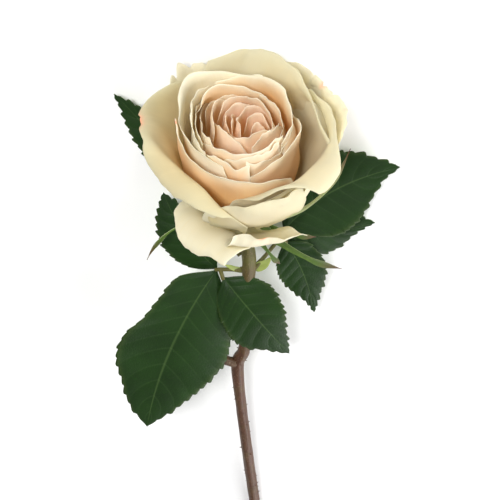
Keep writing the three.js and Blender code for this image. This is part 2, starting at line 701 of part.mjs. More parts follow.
function setPiece(name, body, swollen, color) {
  set.push({ body, box: body.boundingBox(), swollen });
  node(name, body, color);
}

function setPetal(name, given, rows, cols, color) {
  const grid = petalGrid(given, rows, cols);
  const swollen = shell(widened(grid, GAP), PETAL_THICK + 2 * GAP);
  setPiece(name, fitted(shell(grid, PETAL_THICK)), swollen, color);
}

const trunk = stem();
const swollenTrunk = stem(GAP);
setPiece("stem", trunk, swollenTrunk, STEM_BROWN);

const bud = fromGeometry(new THREE.SphereGeometry(1.9, 10, 6)).translate(place([0, 0, 19.6]));
let heart = bud;
let swollenHeart = bud;
for (const given of HEART) {
  const grid = petalGrid({ lip: 1.5, rise: -5, ruffle: 0.4, leave: 60, ...given }, 3, 3);
  heart = heart.add(shell(grid, PETAL_THICK));
  swollenHeart = swollenHeart.add(shell(widened(grid, GAP), PETAL_THICK + 2 * GAP));
}
setPiece("heart", largest(heart.subtract(swollenTrunk)), swollenHeart, BLUSH);

for (let i = RINGS.length - 1; i >= 0; i--) {
  setPetal("ring_" + String(i + 1).padStart(2, "0"), ringPetal(i), 5, 5, PEACH);
}
for (const name of ["cup_left", "cup_back_right", "cup_back_left", "cup_right", "cup_front"]) {
  setPetal(name, CUPS[name], 6, 6, CREAM);
}
for (const name of ["outer_right", "outer_back", "outer_front", "outer_left"]) {
  setPetal(name, OUTERS[name], 7, 6, CREAM);
}
for (const name of ["back_left", "back", "right", "front_right", "front_left"]) {
  setPetal("guard_" + name, GUARDS["guard_" + name], 7, 6, CREAM);
}

for (const [name, given] of Object.entries(SEPALS)) {
  const stations = [0, 0.15, 0.35, 0.55, 0.68, 0.78, 0.9, 1];
  const grid = bladeGrid({ teeth: 1, depth: 0, wave: 0.5, cells: 2, ...given }, sepalOutline, stations);
  const body = fitted(shell(grid, 0.9));
  setPiece(name, body, body, SEPAL_GREEN);
}

for (const [name, leaf] of Object.entries(LEAVES)) {
  let body = bentTube(...leaf.stalks[0], PETIOLE_RADIUS + 0.35, PETIOLE_RADIUS, 5, 6);
  for (const stalk of leaf.stalks.slice(1)) {
    body = body.add(bentTube(...stalk, PETIOLE_RADIUS, PETIOLE_RADIUS - 0.15, 2, 6));
  }
  for (const blade of leaf.blades) {
    body = body.add(shell(bladeGrid(blade), LEAF_THICK));
  }
  const wing = { teeth: 1, depth: 0, wave: 0, cells: 2, ...leaf.stipule };
  body = body.add(shell(bladeGrid(wing, bladeOutline, [0, 0.2, 0.6, 1]), LEAF_THICK));
  body = fitted(body);
  setPiece(name, body, body, LEAF_GREEN);
}

export default root;
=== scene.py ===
import bpy
import math
from functools import partial
import numpy as np
from mathutils import Matrix, Vector
from mathutils.bvhtree import BVHTree


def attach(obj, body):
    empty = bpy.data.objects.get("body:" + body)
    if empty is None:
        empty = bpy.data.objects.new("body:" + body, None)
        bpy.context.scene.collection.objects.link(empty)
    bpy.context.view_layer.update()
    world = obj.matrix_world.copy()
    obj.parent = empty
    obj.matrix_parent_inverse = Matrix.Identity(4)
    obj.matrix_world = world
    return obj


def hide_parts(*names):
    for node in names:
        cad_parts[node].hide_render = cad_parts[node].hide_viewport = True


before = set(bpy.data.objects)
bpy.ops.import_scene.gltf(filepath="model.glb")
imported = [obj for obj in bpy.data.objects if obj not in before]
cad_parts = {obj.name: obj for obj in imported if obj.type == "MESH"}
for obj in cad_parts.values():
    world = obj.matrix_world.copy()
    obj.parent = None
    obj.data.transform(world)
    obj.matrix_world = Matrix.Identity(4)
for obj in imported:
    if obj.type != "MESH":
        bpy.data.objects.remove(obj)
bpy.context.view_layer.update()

# The stem. A rose stem is a green, slightly ribbed shoot that turns woody: olive just under the bloom,
# reddish brown further down, with corky specks and a bend where a side shoot was pruned away. It is
# swept along its centre line, in millimetres, with the stub of the pruned shoot beside the bend.
STEM_LINE = [
    ((0, -9, 24), 3.5), ((0.8, -16, 23.2), 3.2), ((1.8, -28.5, 21.8), 3.3), ((0.9, -51.5, 19.3), 2.75),
    ((-0.3, -76, 16.9), 2.75), ((-1.2, -85, 16.2), 3.1), ((-4, -93.5, 15.3), 3.2),
    ((-2.8, -119, 12.6), 2.85), ((0.7, -158, 8.5), 2.95), ((4.5, -198, 4.5), 3), ((6.2, -215, 2.9), 3),
]
STUB = ((-4, -92, 15.6), (-8, -90, 17.2), (-12.2, -87, 18.4))
STUB_RADII = ([0, 0.5, 0.88, 1], [2.7, 2.35, 2.45, 2.1])
SIDES, STEM_RINGS, STUB_RINGS = 28, 260, 30
TO_FRAME = np.array([-4.55, 72.8, 0.0])


def smooth(a, b, x):
    t = np.clip((x - a) / (b - a), 0, 1)
    return t * t * (3 - 2 * t)


def mix(a, b, t):
    return a + (b - a) * t


def unit(v):
    return v / np.maximum(np.linalg.norm(v, axis=-1, keepdims=True), 1e-12)


def spline(points, steps):
    """A smooth line through the points, as that many points evenly spaced."""
    p = np.array(points, float)
    p = np.vstack([2 * p[0] - p[1], p, 2 * p[-1] - p[-2]])
    line = []
    for i in range(1, len(p) - 2):
        for t in np.linspace(0, 1, 24, endpoint=False):
            a, b, c, d = p[i - 1], p[i], p[i + 1], p[i + 2]
            line.append(0.5 * (2 * b + (c - a) * t + (2 * a - 5 * b + 4 * c - d) * t**2
                               + (3 * b - a - 3 * c + d) * t**3))
    line = np.array(line + [p[-2]])
    run = np.concatenate([[0], np.cumsum(np.linalg.norm(np.diff(line[:, :3], axis=0), axis=1))])
    at = np.linspace(0, run[-1], steps)
    return np.stack([np.interp(at, run, line[:, k]) for k in range(p.shape[1])], 1)


def swept(line, radius, sides):
    """Rings of points round a line; radius is one number per ring and side."""
    along = unit(np.gradient(line, axis=0))
    rings = []
    side = unit(np.cross(along[0], [0.1, 0.2, 1.0]))
    angle = 2 * math.pi * np.arange(sides) / sides
    for centre, ahead, size in zip(line, along, radius):
        side = unit(side - np.dot(side, ahead) * ahead)
        third = np.cross(ahead, side)
        rings.append(centre + (np.cos(angle) * size)[:, None] * side
                     + (np.sin(angle) * size)[:, None] * third)
    return np.array(rings)


def tube_faces(rings, sides):
    """Quads between the rings and a fan at each end, round two middle points that follow the rings."""
    faces = []
    for j in range(rings - 1):
        for i in range(sides):
            n = (i + 1) % sides
            faces.append((j * sides + i, j * sides + n, j * sides + sides + n, j * sides + sides + i))
    first, last, end = rings * sides, rings * sides + 1, (rings - 1) * sides
    for i in range(sides):
        n = (i + 1) % sides
        faces += [(first, n, i), (last, end + i, end + n)]
    return faces


def put_in_scene(name, data):
    made = bpy.data.objects.new(name, data)
    bpy.context.scene.collection.objects.link(made)
    return made


def make_piece(name, shape, material):
    """A smooth mesh object that rides on the rose, from points in millimetres, faces, UV and tint."""
    points, faces, uv, tint = shape
    mesh = bpy.data.meshes.new(name)
    mesh.from_pydata(((points + TO_FRAME) / 1000).tolist(), [], faces)
    mesh.materials.append(material)
    mesh.shade_smooth()
    loops = np.zeros(len(mesh.loops), np.int32)
    mesh.loops.foreach_get("vertex_index", loops)
    if uv is not None:
        mesh.uv_layers.new(name="UVMap").data.foreach_set("uv", uv[loops].astype(np.float32).ravel())
    if tint is not None:
        layer = mesh.attributes.new("tint", "FLOAT_COLOR", "POINT")
        four = np.concatenate([np.clip(tint, 0, 1), np.ones((len(tint), 1))], 1)
        layer.data.foreach_set("color", four.astype(np.float32).ravel())
    mesh.validate()
    piece = put_in_scene(name, mesh)
    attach(piece, "root")
    return piece


def colour(code):
    """An sRGB hex colour as linear light."""
    parts = [int(code[i:i + 2], 16) / 255 for i in (1, 3, 5)]
    return (*[c / 12.92 if c <= 0.04045 else ((c + 0.055) / 1.055) ** 2.4 for c in parts], 1.0)


def per_metre(millimetres):
    """A pattern's scale, from the real size of what repeats in it."""
    return 1000 / millimetres


def add_node(tree, kind, settings=None, **inputs):
    """Adds a node to a tree. Settings are a dictionary, or a math node's operation. An input is a value,
    a hex colour, a socket to link from, or a node whose first output in use is meant; a space in its
    name is written _, and in_0, in_1 count the sockets where names repeat."""
    made = tree.nodes.new(kind if "Node" in kind else "ShaderNode" + kind)
    if isinstance(settings, str):
        settings = {"operation": settings}
    for key, value in (settings or {}).items():
        setattr(made, key, value)
    for key, value in inputs.items():
        socket = made.inputs[int(key[3:]) if key.startswith("in_") else key.replace("_", " ")]
        if isinstance(value, bpy.types.Node):
            value = next(output for output in value.outputs if output.enabled)
        if isinstance(value, bpy.types.NodeSocket):
            tree.links.new(value, socket)
        else:
            socket.default_value = colour(value) if str(value).startswith("#") else value
    return made


def new_material(name):
    """A material without nodes, and what adds nodes to it."""
    material = bpy.data.materials.new(name)
    material.use_nodes = True
    material.node_tree.nodes.clear()
    return material, partial(add_node, material.node_tree)


# Rose wood and green bark: a waxy skin over wood, so it is satin. It is streaked along the stem at
# about 0.6 mm, cloudy at 6 mm, with pale corky specks 1.1 mm apart, and a cut shows pale damp wood. The
# tint attribute holds how woody the skin is in red, and where it is a cut face in green.
TINT = {"attribute_name": "tint"}
COLOURS = {"data_type": "RGBA"}
bark, add = new_material("rose_bark")
tints = add("SeparateColor", Color=add("Attribute", TINT)).outputs
spot = add("TexCoord").outputs["Object"]
stretch = add("Mapping", Vector=spot, Scale=(1.0, 0.14, 1.0))
streaks = add("TexNoise", Vector=stretch, Scale=per_metre(0.625), Detail=4.0)
patches = add("TexNoise", Vector=spot, Scale=per_metre(6.25), Detail=3.0)
specks = add("TexVoronoi", Vector=spot, Scale=per_metre(1.11))
green_skin = add("Mix", COLOURS, in_0=streaks, in_6="#48501f", in_7="#74783c")
brown_skin = add("Mix", COLOURS, in_0=streaks, in_6="#2f1c14", in_7="#63422f")
age = add("Math", "SUBTRACT", in_0=tints["Red"], in_1=0.35)
woody = add("Math", "MULTIPLY_ADD", in_0=patches, in_1=0.7, in_2=age)
woody = add("Clamp", Value=woody)
skin = add("Mix", COLOURS, in_0=woody, in_6=green_skin, in_7=brown_skin)
speck = add("MapRange", Value=specks, From_Min=0.12, From_Max=0.24, To_Min=0.55, To_Max=0.0)
for share, code in ((speck, "#8f7156"), (tints["Green"], "#cdb98a")):
    skin = add("Mix", COLOURS, in_0=share, in_6=skin, in_7=code)
height = add("Math", "ADD", in_0=streaks, in_1=speck)
relief = add("Bump", Strength=0.55, Distance=0.0003, Height=height)
skin = add("BsdfPrincipled", Base_Color=skin, Roughness=0.5, Specular_IOR_Level=0.3, Normal=relief)
add("OutputMaterial", Surface=skin)

points = spline([(*p, r) for p, r in STEM_LINE], STEM_RINGS)
line, thick = points[:, :3], points[:, 3]
angle = 2 * math.pi * np.arange(SIDES) / SIDES
far = np.linspace(0, 1, len(line))[:, None]
ribs = 0.05 * np.sin(5 * angle + 9 * far) + 0.035 * np.sin(3 * angle + 31 * far + 1)
lumps = 0.09 * np.sin(47 * far + 2 * np.sin(angle)) * np.sin(21 * far + angle)
radius = thick[:, None] * (1 + ribs * 0.5) + lumps
rings = swept(line, radius, SIDES)
rings[..., 2] = np.maximum(rings[..., 2], 0.0)
body = np.vstack([rings.reshape(-1, 3), line[0], line[-1] + [0.03, -0.35, 0.02]])
run = np.repeat(np.linspace(0, 1, len(line)), SIDES)
wood = np.concatenate([0.35 + 0.65 * smooth(0.02, 0.25, run), [0, 1]])
cut = np.concatenate([np.zeros(len(run)), [0, 1.0]])
stem_tint = np.stack([wood, cut, 0 * wood], 1)
stem = make_piece("stem_skin", (body, tube_faces(STEM_RINGS, SIDES), None, stem_tint), bark)
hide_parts("stem")

stub_line = spline(STUB, STUB_RINGS)
stub_size = np.interp(np.linspace(0, 1, STUB_RINGS), *STUB_RADII)
stub_rings = swept(stub_line, stub_size[:, None] * (1 + 0.03 * np.sin(4 * angle)[None]), SIDES)
stub_end = stub_line[-1] - 0.35 * unit(stub_line[-1] - stub_line[-2])
stub_points = np.vstack([stub_rings.reshape(-1, 3), stub_line[0], stub_end])
stub_cut = np.concatenate([np.zeros((STUB_RINGS - 1) * SIDES), np.full(SIDES, 0.55), [0, 1]])
stub_tint = np.stack([0.9 + 0 * stub_cut, stub_cut, 0 * stub_cut], 1)
stub_faces = tube_faces(STUB_RINGS, SIDES)
stub = make_piece("pruned_stub", (stub_points, stub_faces, None, stub_tint), bark)
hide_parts("stem")

# Prickles. Small hooked points that grow from the skin, denser on the old wood, about 1 mm long. They
# are scattered over the skin of the stem by a node tree, and each leans back down the stem.
PRICKLES = {"Per square metre": 20000.0, "Length": 0.0011, "Foot radius": 0.00034, "Seed": 5,
            "Material": bark}
LOWEST = 0.00005
prickles = bpy.data.node_groups.new("prickles_on_stem", "GeometryNodeTree")
for label, kind in (("Stem", "Geometry"), ("Per square metre", "Float"), ("Length", "Float"),
                    ("Foot radius", "Float"), ("Seed", "Int"), ("Material", "Material")):
    prickles.interface.new_socket(label, in_out="INPUT", socket_type="NodeSocket" + kind)
prickles.interface.new_socket("Prickles", in_out="OUTPUT", socket_type="NodeSocketGeometry")
add = partial(add_node, prickles)
given = add("NodeGroupInput").outputs
woodiness = add("GeometryNodeInputNamedAttribute", {"data_type": "FLOAT_COLOR"}, Name="tint")
split = add("FunctionNodeSeparateColor", Color=woodiness)
amount = add("Math", "MULTIPLY", in_0=split, in_1=given["Per square metre"])
scatter = add("GeometryNodeDistributePointsOnFaces", {"distribute_method": "RANDOM"},
              Mesh=given["Stem"], Density=amount, Seed=given["Seed"])
thorn = add("GeometryNodeMeshCone", Vertices=6, Side_Segments=2, Radius_Top=0.00001,
            Radius_Bottom=given["Foot radius"], Depth=given["Length"])
lean = add("FunctionNodeRotateRotation", {"rotation_space": "LOCAL"}, in_0=scatter.outputs["Rotation"],
           in_1=(0.5, 0.15, 0.0))
size = add("FunctionNodeRandomValue", {"data_type": "FLOAT"}, in_2=0.45, in_3=1.15, Seed=given["Seed"])
placed = add("GeometryNodeInstanceOnPoints", Points=scatter, Instance=thorn, Rotation=lean, Scale=size)
solid = add("GeometryNodeRealizeInstances", Geometry=placed)
skinned = add("GeometryNodeSetMaterial", Geometry=solid, Material=given["Material"])
add("NodeGroupOutput", in_0=skinned)


def grown(source, tree, settings, name):
    """The mesh that a node tree grows on a piece, as a plain mesh object of its own."""
    modifier = source.modifiers.new("grow", "NODES")
    modifier.node_group = tree
    for item in tree.interface.items_tree:
        if item.in_out == "INPUT" and item.name in settings:
            modifier[item.identifier] = settings[item.name]
    shown = source.evaluated_get(bpy.context.evaluated_depsgraph_get())
    mesh = bpy.data.meshes.new_from_object(shown)
    source.modifiers.remove(modifier)
    mesh.name = name
    return put_in_scene(name, mesh)


thorns = grown(stem, prickles, PRICKLES, "stem_prickles")
for vertex in thorns.data.vertices:
    vertex.co.z = max(vertex.co.z, LOWEST)
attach(thorns, "root")

# The hip. Under the bloom the stem swells into a smooth green cup, the hip, and inside it a short cone
# carries the petals. It is turned from a half profile, radius and height in millimetres, along the
# bloom's axis, which bends up from the stem by 20 degrees over the head's depth.
NECK = np.array([0.0, 0.0, 25.0])
SLOPE, HEAD_BEND, HEAD_LENGTH = math.radians(6), math.radians(20), 56.0
CORE = [
    (3.3, -15), (3.5, -12.6), (5.2, -10.6), (6.2, -8.4), (6.3, -5.5), (6.1, -2.6), (5.6, 0.6), (4.9, 3.4),
    (3.2, 9), (1.4, 15), (0.5, 17.2),
]
CORE_RINGS, CORE_SIDES = 70, 36


def place(points):
    """Bloom coordinates, x right, y back, z along the bending axis, as millimetres in the rose's frame."""
    x, y, z = points[..., 0], points[..., 1], points[..., 2]
    rate = HEAD_BEND / HEAD_LENGTH
    up, down = np.maximum(z, 0), np.minimum(z, 0)
    lean = SLOPE + rate * up
    return np.stack([
        NECK[0] + x,
        NECK[1] + (np.sin(lean) - math.sin(SLOPE)) / rate + down * math.cos(SLOPE) + y * np.sin(lean),
        NECK[2] + (math.cos(SLOPE) - np.cos(lean)) / rate + down * math.sin(SLOPE) - y * np.cos(lean),
    ], -1)


profile = spline([(r, h, 0) for r, h in CORE], CORE_RINGS)
turn = 2 * math.pi * np.arange(CORE_SIDES) / CORE_SIDES
rim = profile[:, 0][:, None] * (1 + 0.015 * np.sin(5 * turn)[None])
hip_rings = place(np.stack([rim * np.cos(turn), rim * np.sin(turn), profile[:, 1][:, None] + 0 * rim], -1))
hip_ends = place(np.array([[0.0, 0, -15.0], [0, 0, 17.4]]))

# Hip skin: smooth, fleshy and waxy green, clouded at about 4 mm, so it has a soft sheen.
hip_skin, add = new_material("rose_hip_skin")
spot = add("TexCoord").outputs["Object"]
cloud = add("TexNoise", Vector=spot, Scale=per_metre(3.85), Detail=4.0)
hip_green = add("Mix", COLOURS, in_0=cloud, in_6="#75883c", in_7="#a9b265")
pits = add("Bump", Strength=0.2, Distance=0.0002, Height=cloud)
flesh = add("BsdfPrincipled", Base_Color=hip_green, Roughness=0.42, IOR=1.45, Subsurface_Weight=0.2,
            Subsurface_Radius=(0.6, 1.0, 0.3), Subsurface_Scale=0.001, Normal=pits)
add("OutputMaterial", Surface=flesh)
hip_points = np.vstack([hip_rings.reshape(-1, 3), hip_ends])
hip = make_piece("hip", (hip_points, tube_faces(CORE_RINGS, CORE_SIDES), None, None), hip_skin)
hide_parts("stem")

# The petals. Each is a thin soft sheet, narrow and stiff at its claw and broad and ruffled at its
# margin, cupped round the bloom's axis. Its middle line runs from the claw to the rim and over the
# lip; the sheet is wrapped round the axis, and each petal is pushed outside those set before it.
PETAL = dict(
    round=1.0, base=(6, 0), leave=62, rise=0, belly=0.42, lip=3, curl=25, spiral=0, ruffle=0.8, phase=0,
    corner=0.3, margin=(), claw=0.22, full=0.72, lean=0, crease=0, off=(0, 0), low=0.31, frill=0.55,
    roll=0.8, nicks=(), pink=(), fade=8, peach=0.8, green=0.1, blush=0.0,
)
# In millimetres and degrees, base and rim are the radius and height of the claw and of the bend, leave
# and rise the slopes there, half is half the width, lip and curl are the part past the bend, off moves
# the rim aside, and low is how near the table a petal comes. The last two lines work and tint the margin.
# FRILLS gives each wave of the margin its length, shift and share. Then come how far frill, pleats and
# rolled rim reach in from the margin, how wide a pleat is, and the dimples' lengths.
FRILLS = ((13.7, 2.1, 1.0), (7.9, 4.7, 0.6), (4.3, 3.1, 0.35))
FRILL_REACH, PLEAT_REACH, ROLL_REACH, PLEAT_WIDTH, DIMPLES = 4.5, 9, 0.9, 1.3, (21, 17)
PROFILE_STEPS, LIP_STEPS = 121, 40


def through(values, x):
    """A smooth curve through evenly spaced values, read at shares x of its length."""
    v = np.array(values, float)
    v = np.concatenate([[2 * v[0] - v[1]], v, [2 * v[-1] - v[-2]]])
    k = np.clip(np.asarray(x, float), 0, 1) * (len(v) - 3)
    i = np.minimum(k.astype(int), len(v) - 4)
    t, a, b, c, d = k - i, v[i], v[i + 1], v[i + 2], v[i + 3]
    return 0.5 * (2 * b + (c - a) * t + (2 * a - 5 * b + 4 * c - d) * t**2 + (3 * b - a - 3 * c + d) * t**3)


def billow(points):
    """The bloom is a little out of round, more so towards its rim."""
    x, y, z = points[..., 0], points[..., 1], points[..., 2]
    a, r = np.arctan2(y, x), np.hypot(x, y)
    more = smooth(8, 50, z) * smooth(3, 16, r) * (0.9 * np.sin(3 * a + 0.6) + 0.5 * np.sin(5 * a + 2.2))
    return np.stack([x + more * np.cos(a), y + more * np.sin(a), z], -1)


def rest(points, low, reach=5.0):
    """Eases what would pass through the table up onto it."""
    h = points[..., 2] - low
    eased = np.where(h > reach, h, np.where(h > -reach, (h + reach) ** 2 / (4 * reach), 0))
    return np.stack([points[..., 0], points[..., 1], low + eased], -1)


def midline(p, across):
    """Distance, radius, height and direction along a petal's profile, at a share across its width. Rim,
    rise, lip and curl may be lists, spread evenly across the width."""
    def here(value):
        return float(through(value, across)) if isinstance(value, tuple) else value

    base, rim, lip = np.array(p["base"], float), np.array([here(x) for x in p["rim"]]), here(p["lip"])
    reach = np.linalg.norm(rim - base)
    leave, rise, curl = (math.radians(here(p[key])) for key in ("leave", "rise", "curl"))
    b = base + p["belly"] * reach * np.array([math.sin(leave), math.cos(leave)])
    c = rim - 0.45 * reach * np.array([math.sin(rise), math.cos(rise)])
    t = np.linspace(0, 1, PROFILE_STEPS)[:, None]
    line = (1 - t) ** 3 * base + 3 * t * (1 - t) ** 2 * b + 3 * t * t * (1 - t) * c + t**3 * rim
    a = rise + curl * (np.arange(LIP_STEPS) + 0.5) / LIP_STEPS
    over = np.cumsum(np.stack([np.sin(a), np.cos(a)], -1) * lip / LIP_STEPS, 0)
    line = np.concatenate([line, rim + over])
    d = np.gradient(line, axis=0)
    run = np.concatenate([[0], np.cumsum(np.linalg.norm(np.diff(line, axis=0), axis=1))])
    return run, line[:, 0], line[:, 1], np.unwrap(np.arctan2(d[:, 0], d[:, 1]))


def petal_sheet(p, v, u, fine):
    """The petal's middle surface at shares v along it and u across it, how far each point is from the
    margin in millimetres, and its share of the length. fine adds the frilled and rolled margin."""
    v, u = v[:, None], u[None, :]
    phase = p["phase"]
    lines = [midline(p, (x + 1) / 2) for x in u[0]]
    total, turn = np.array([line[0][-1] for line in lines])[None, :], math.radians(p["az"])
    top = 1 - p["corner"] * (1 - np.sqrt(1 - 0.98 * u * u)) + 0.03 * np.exp(-((u / 0.12) ** 2))
    if p["margin"]:
        top = through(p["margin"], (u + 1) / 2)
    if fine:
        top = top + 0.012 * np.sin(7.3 * u + 3 * phase) + 0.007 * np.sin(17 * u + 5 * phase)
        for at, inward_tint_and_fold_shade, wide in p["nicks"]:
            top = top - inward_tint_and_fold_shade * np.exp(-(((u - at) / wide) ** 2))
    top = np.minimum(top, 1)
    s = v * total * top
    f = s / total
    opened = np.sin(np.pi / 2 * np.clip(f / p["full"], 0, 1)) ** 1.3
    half = p["half"] * (p["claw"] + (1 - p["claw"]) * opened) * (1 - 0.12 * smooth(0.72, 1, f))
    r, z, a = (np.stack([np.interp(s[:, i], line[0], line[k]) for i, line in enumerate(lines)], 1)
               for k in (1, 2, 3))
    rho = np.maximum(p["round"] * r, 2)
    swing = u * half / rho
    out, across = r - rho + rho * np.cos(swing), rho * np.sin(swing)
    wave = 0.55 * np.sin(4.1 * u + phase) + 0.45 * np.sin(9.3 * u + 1.7 * phase + 2 * f)
    d = (p["spiral"] * u * smooth(0, 0.4, f) + p["ruffle"] * f**3 * wave
         + p["crease"] * (np.exp(-((u / 0.22) ** 2)) - 0.3) * smooth(0.3, 1, f))
    edge = np.minimum((1 - v) * total * top, (1 - np.abs(u)) * half * 1.2 + 0 * v)
    if fine:
        x = u * half
        frill = sum(share * np.sin(2 * np.pi * x / wave + shift * phase) for wave, shift, share in FRILLS)
        dimple = (np.sin(2 * np.pi * x / DIMPLES[0] + phase)
                  * np.sin(2 * np.pi * s / DIMPLES[1] + 2.3 * phase))
        folds = (0.62 * math.sin(3 * phase + 1), -0.55 * math.cos(5 * phase), 0.2 * math.sin(7 * phase))
        pleat = sum(np.exp(-(((x - fold * half + 0.12 * edge) / PLEAT_WIDTH) ** 2)) for fold in folds)
        d = (d + p["frill"] * frill * np.exp(-edge / FRILL_REACH) + 0.3 * dimple * smooth(0.15, 0.5, f)
             - 0.7 * p["frill"] * pleat * np.exp(-edge / PLEAT_REACH)
             + p["roll"] * np.exp(-edge / ROLL_REACH))
    out = out + d * np.cos(a) * np.cos(swing)
    across = across + d * np.cos(a) * np.sin(swing)
    height = z - d * np.sin(a) + p["lean"] * across / p["half"]
    g = smooth(0, 0.5, f)
    x = out * math.cos(turn) - across * math.sin(turn) + p["off"][0] * g
    y = out * math.sin(turn) + across * math.cos(turn) + p["off"][1] * g
    return rest(place(billow(np.stack([x, y, height], -1))), p["low"]), edge, f


def facing_out(sheet, centre):
    """The sheet's normals, turned away from a line through the bloom, and 1 or -1 for the turn."""
    normal = unit(np.cross(np.gradient(sheet, axis=1), np.gradient(sheet, axis=0)))
    middle = len(sheet) // 2, sheet.shape[1] // 2
    sign = 1.0 if np.dot(normal[middle], sheet[middle] - centre) >= 0 else -1.0
    return normal * sign, sign


def cells(rows, cols):
    """The four corners of each cell in a grid of points, as they are numbered along its rows."""
    return [(k, k + 1, k + cols + 1, k + cols)
            for j in range(rows - 1) for k in range(j * cols, j * cols + cols - 1)]


def closed_sheet(outside, inside, turned):
    """Points and faces of a thin sheet between two grids of points, closed round its edge."""
    rows, cols = outside.shape[:2]
    count = rows * cols
    faces = []
    for a, b, c, d in cells(rows, cols):
        faces += [(a, b, c, d), (d + count, c + count, b + count, a + count)]
    ring = list(range(cols)) + [j * cols + cols - 1 for j in range(1, rows)]
    ring += [count - cols + i for i in range(cols - 2, -1, -1)] + [j * cols for j in range(rows - 2, 0, -1)]
    for a, b in zip(ring, ring[1:] + ring[:1]):
        faces.append((b, a, a + count, b + count))
    if not turned:
        faces = [face[::-1] for face in faces]
    return np.concatenate([outside.reshape(-1, 3), inside.reshape(-1, 3)]), faces


# Petals are set from the heart outwards. Each one's coarse grid is moved in a few rounds until it lies
# this far, in millimetres, outside those already set, as far as a search round each point finds them.
CLEAR, SEARCH, ROUNDS, STEP, TABLE_GAP = 0.75, 6.0, 12, 0.6, 0.02
COARSE = (np.linspace(0, 1, 19), np.linspace(-1, 1, 23))
set_petals = []


def bloom_axis(p):
    """The point that a petal's outer face looks away from."""
    return place(np.array([p["off"][0], p["off"][1], 30.0]))


def pressed_out(moved):
    """How far each point of a coarse grid is still to be pushed along the normals of petals set before."""
    rows, cols = moved.shape[:2]
    push = np.zeros_like(moved)
    for tree, flip, low, high in set_petals:
        near = np.all((moved > low - SEARCH) & (moved < high + SEARCH), axis=-1)
        near[:2] = False
        for j, i in zip(*np.nonzero(near)):
            spot, normal, face, gap = tree.find_nearest(Vector(moved[j, i]), SEARCH)
            if spot is None:
                continue
            row, col = divmod(face // 2, cols - 1)
            if row in (0, rows - 2) or col in (0, cols - 2):
                continue
            normal = np.array(normal) * flip
            depth = CLEAR - float(np.dot(moved[j, i] - np.array(spot), normal))
            if depth > 0:
                push[j, i] += STEP * depth * normal
    return push


def settle(p):
    """How far each point of a petal's coarse sheet moves so that it lies outside the petals already set.
    The push is shared smoothly with the points round it, and the claw stays where it is."""
    sheet = petal_sheet(p, *COARSE, False)[0]
    moved = sheet.copy()
    for _ in range(ROUNDS):
        push = pressed_out(moved)
        if not push.any():
            break
        for _ in range(2):
            wide = np.pad(push, ((1, 1), (1, 1), (0, 0)), mode="edge")
            around = (wide[:-2, 1:-1] + wide[2:, 1:-1] + wide[1:-1, :-2] + wide[1:-1, 2:]) / 4
            longer = np.linalg.norm(push, axis=-1) > np.linalg.norm(around, axis=-1)
            push = np.where(longer[..., None], push, around)
        moved = moved + push * smooth(0.0, 0.2, COARSE[0])[:, None, None]
    triangles = [t for a, b, c, d in cells(*moved.shape[:2]) for t in ((a, b, c), (a, c, d))]
    points = moved.reshape(-1, 3)
    tree = BVHTree.FromPolygons([Vector(q) for q in points], triangles)
    set_petals.append((tree, facing_out(moved, bloom_axis(p))[1], points.min(0), points.max(0)))
    return moved - sheet


def spread(coarse, v, u):
    """The coarse push, carried to a finer grid."""
    cols = coarse.shape[1]
    down = np.array([[np.interp(v, COARSE[0], coarse[:, i, k]) for k in range(3)] for i in range(cols)])
    down = down.transpose(2, 0, 1)
    fine = np.array([[np.interp(u, COARSE[1], row[:, k]) for k in range(3)] for row in down])
    return fine.transpose(0, 2, 1)


def petal_mesh(given, rows, cols, thick=(0.46, 0.2)):
    """Points, faces, UV and tint of one petal, closed all round; thick is at its middle and its margin.
    UV runs across and along it."""
    p = {**PETAL, **given}
    v = 1 - (1 - np.linspace(0, 1, rows + 1)) ** 1.25
    u = np.linspace(-1, 1, cols + 1)
    u = np.sign(u) * (1 - (1 - np.abs(u)) ** 1.15)
    push = settle(p)
    sheet, edge, f = petal_sheet(p, v, u, True)
    sheet = sheet + spread(push, v, u)
    normal = facing_out(sheet, bloom_axis(p))[0]
    width = mix(thick[1], thick[0], smooth(0, 6, edge))[..., None] / 2
    outside, inside = sheet + normal * width, sheet - normal * width
    for face in (outside, inside):
        face[..., 2] = np.maximum(face[..., 2], TABLE_GAP)
    turned = np.dot(np.cross(sheet[1, 1] - sheet[0, 0], sheet[1, 0] - sheet[0, 1]), normal[0, 0]) > 0
    points, faces = closed_sheet(outside, inside, turned)
    uv = np.stack([np.broadcast_to((u[None, :] + 1) / 2, f.shape), f], -1).reshape(-1, 2)
    # Peach and blush grow away from the margin: partly the rose's own apricot base, partly painted warm
    # shade deep in the folds.
    inward_tint_and_fold_shade = 1 - np.exp(-edge / p["fade"])
    flush = 0 * f
    for at, wide, reach in p["pink"]:
        flush = flush + np.exp(-(((u[None, :] - at) / wide) ** 2)) * np.exp(-edge / reach)
    tints = []
    for inner in (0, 1):
        peach = p["peach"] * (0.8 + 0.2 * inner) * inward_tint_and_fold_shade
        green = p["green"] * (1 - smooth(0.1, 0.75, f)) * (1.0 - 0.5 * inner) + 0.6 * p["green"]
        tints.append(np.stack([peach, green, p["blush"] * (0.35 + 0.65 * inward_tint_and_fold_shade) + flush], -1).reshape(-1, 3))
    return points, faces, np.concatenate([uv, uv]), np.concatenate(tints)


def joined(parts):
    """Several meshes' points, faces, UV and tint as one."""
    faces, start = [], 0
    for part in parts:
        faces += [tuple(k + start for k in face) for face in part[1]]
        start += len(part[0])
    points, uv, tint = (np.concatenate([part[k] for part in parts]) for k in (0, 2, 3))
    return points, faces, uv, tint
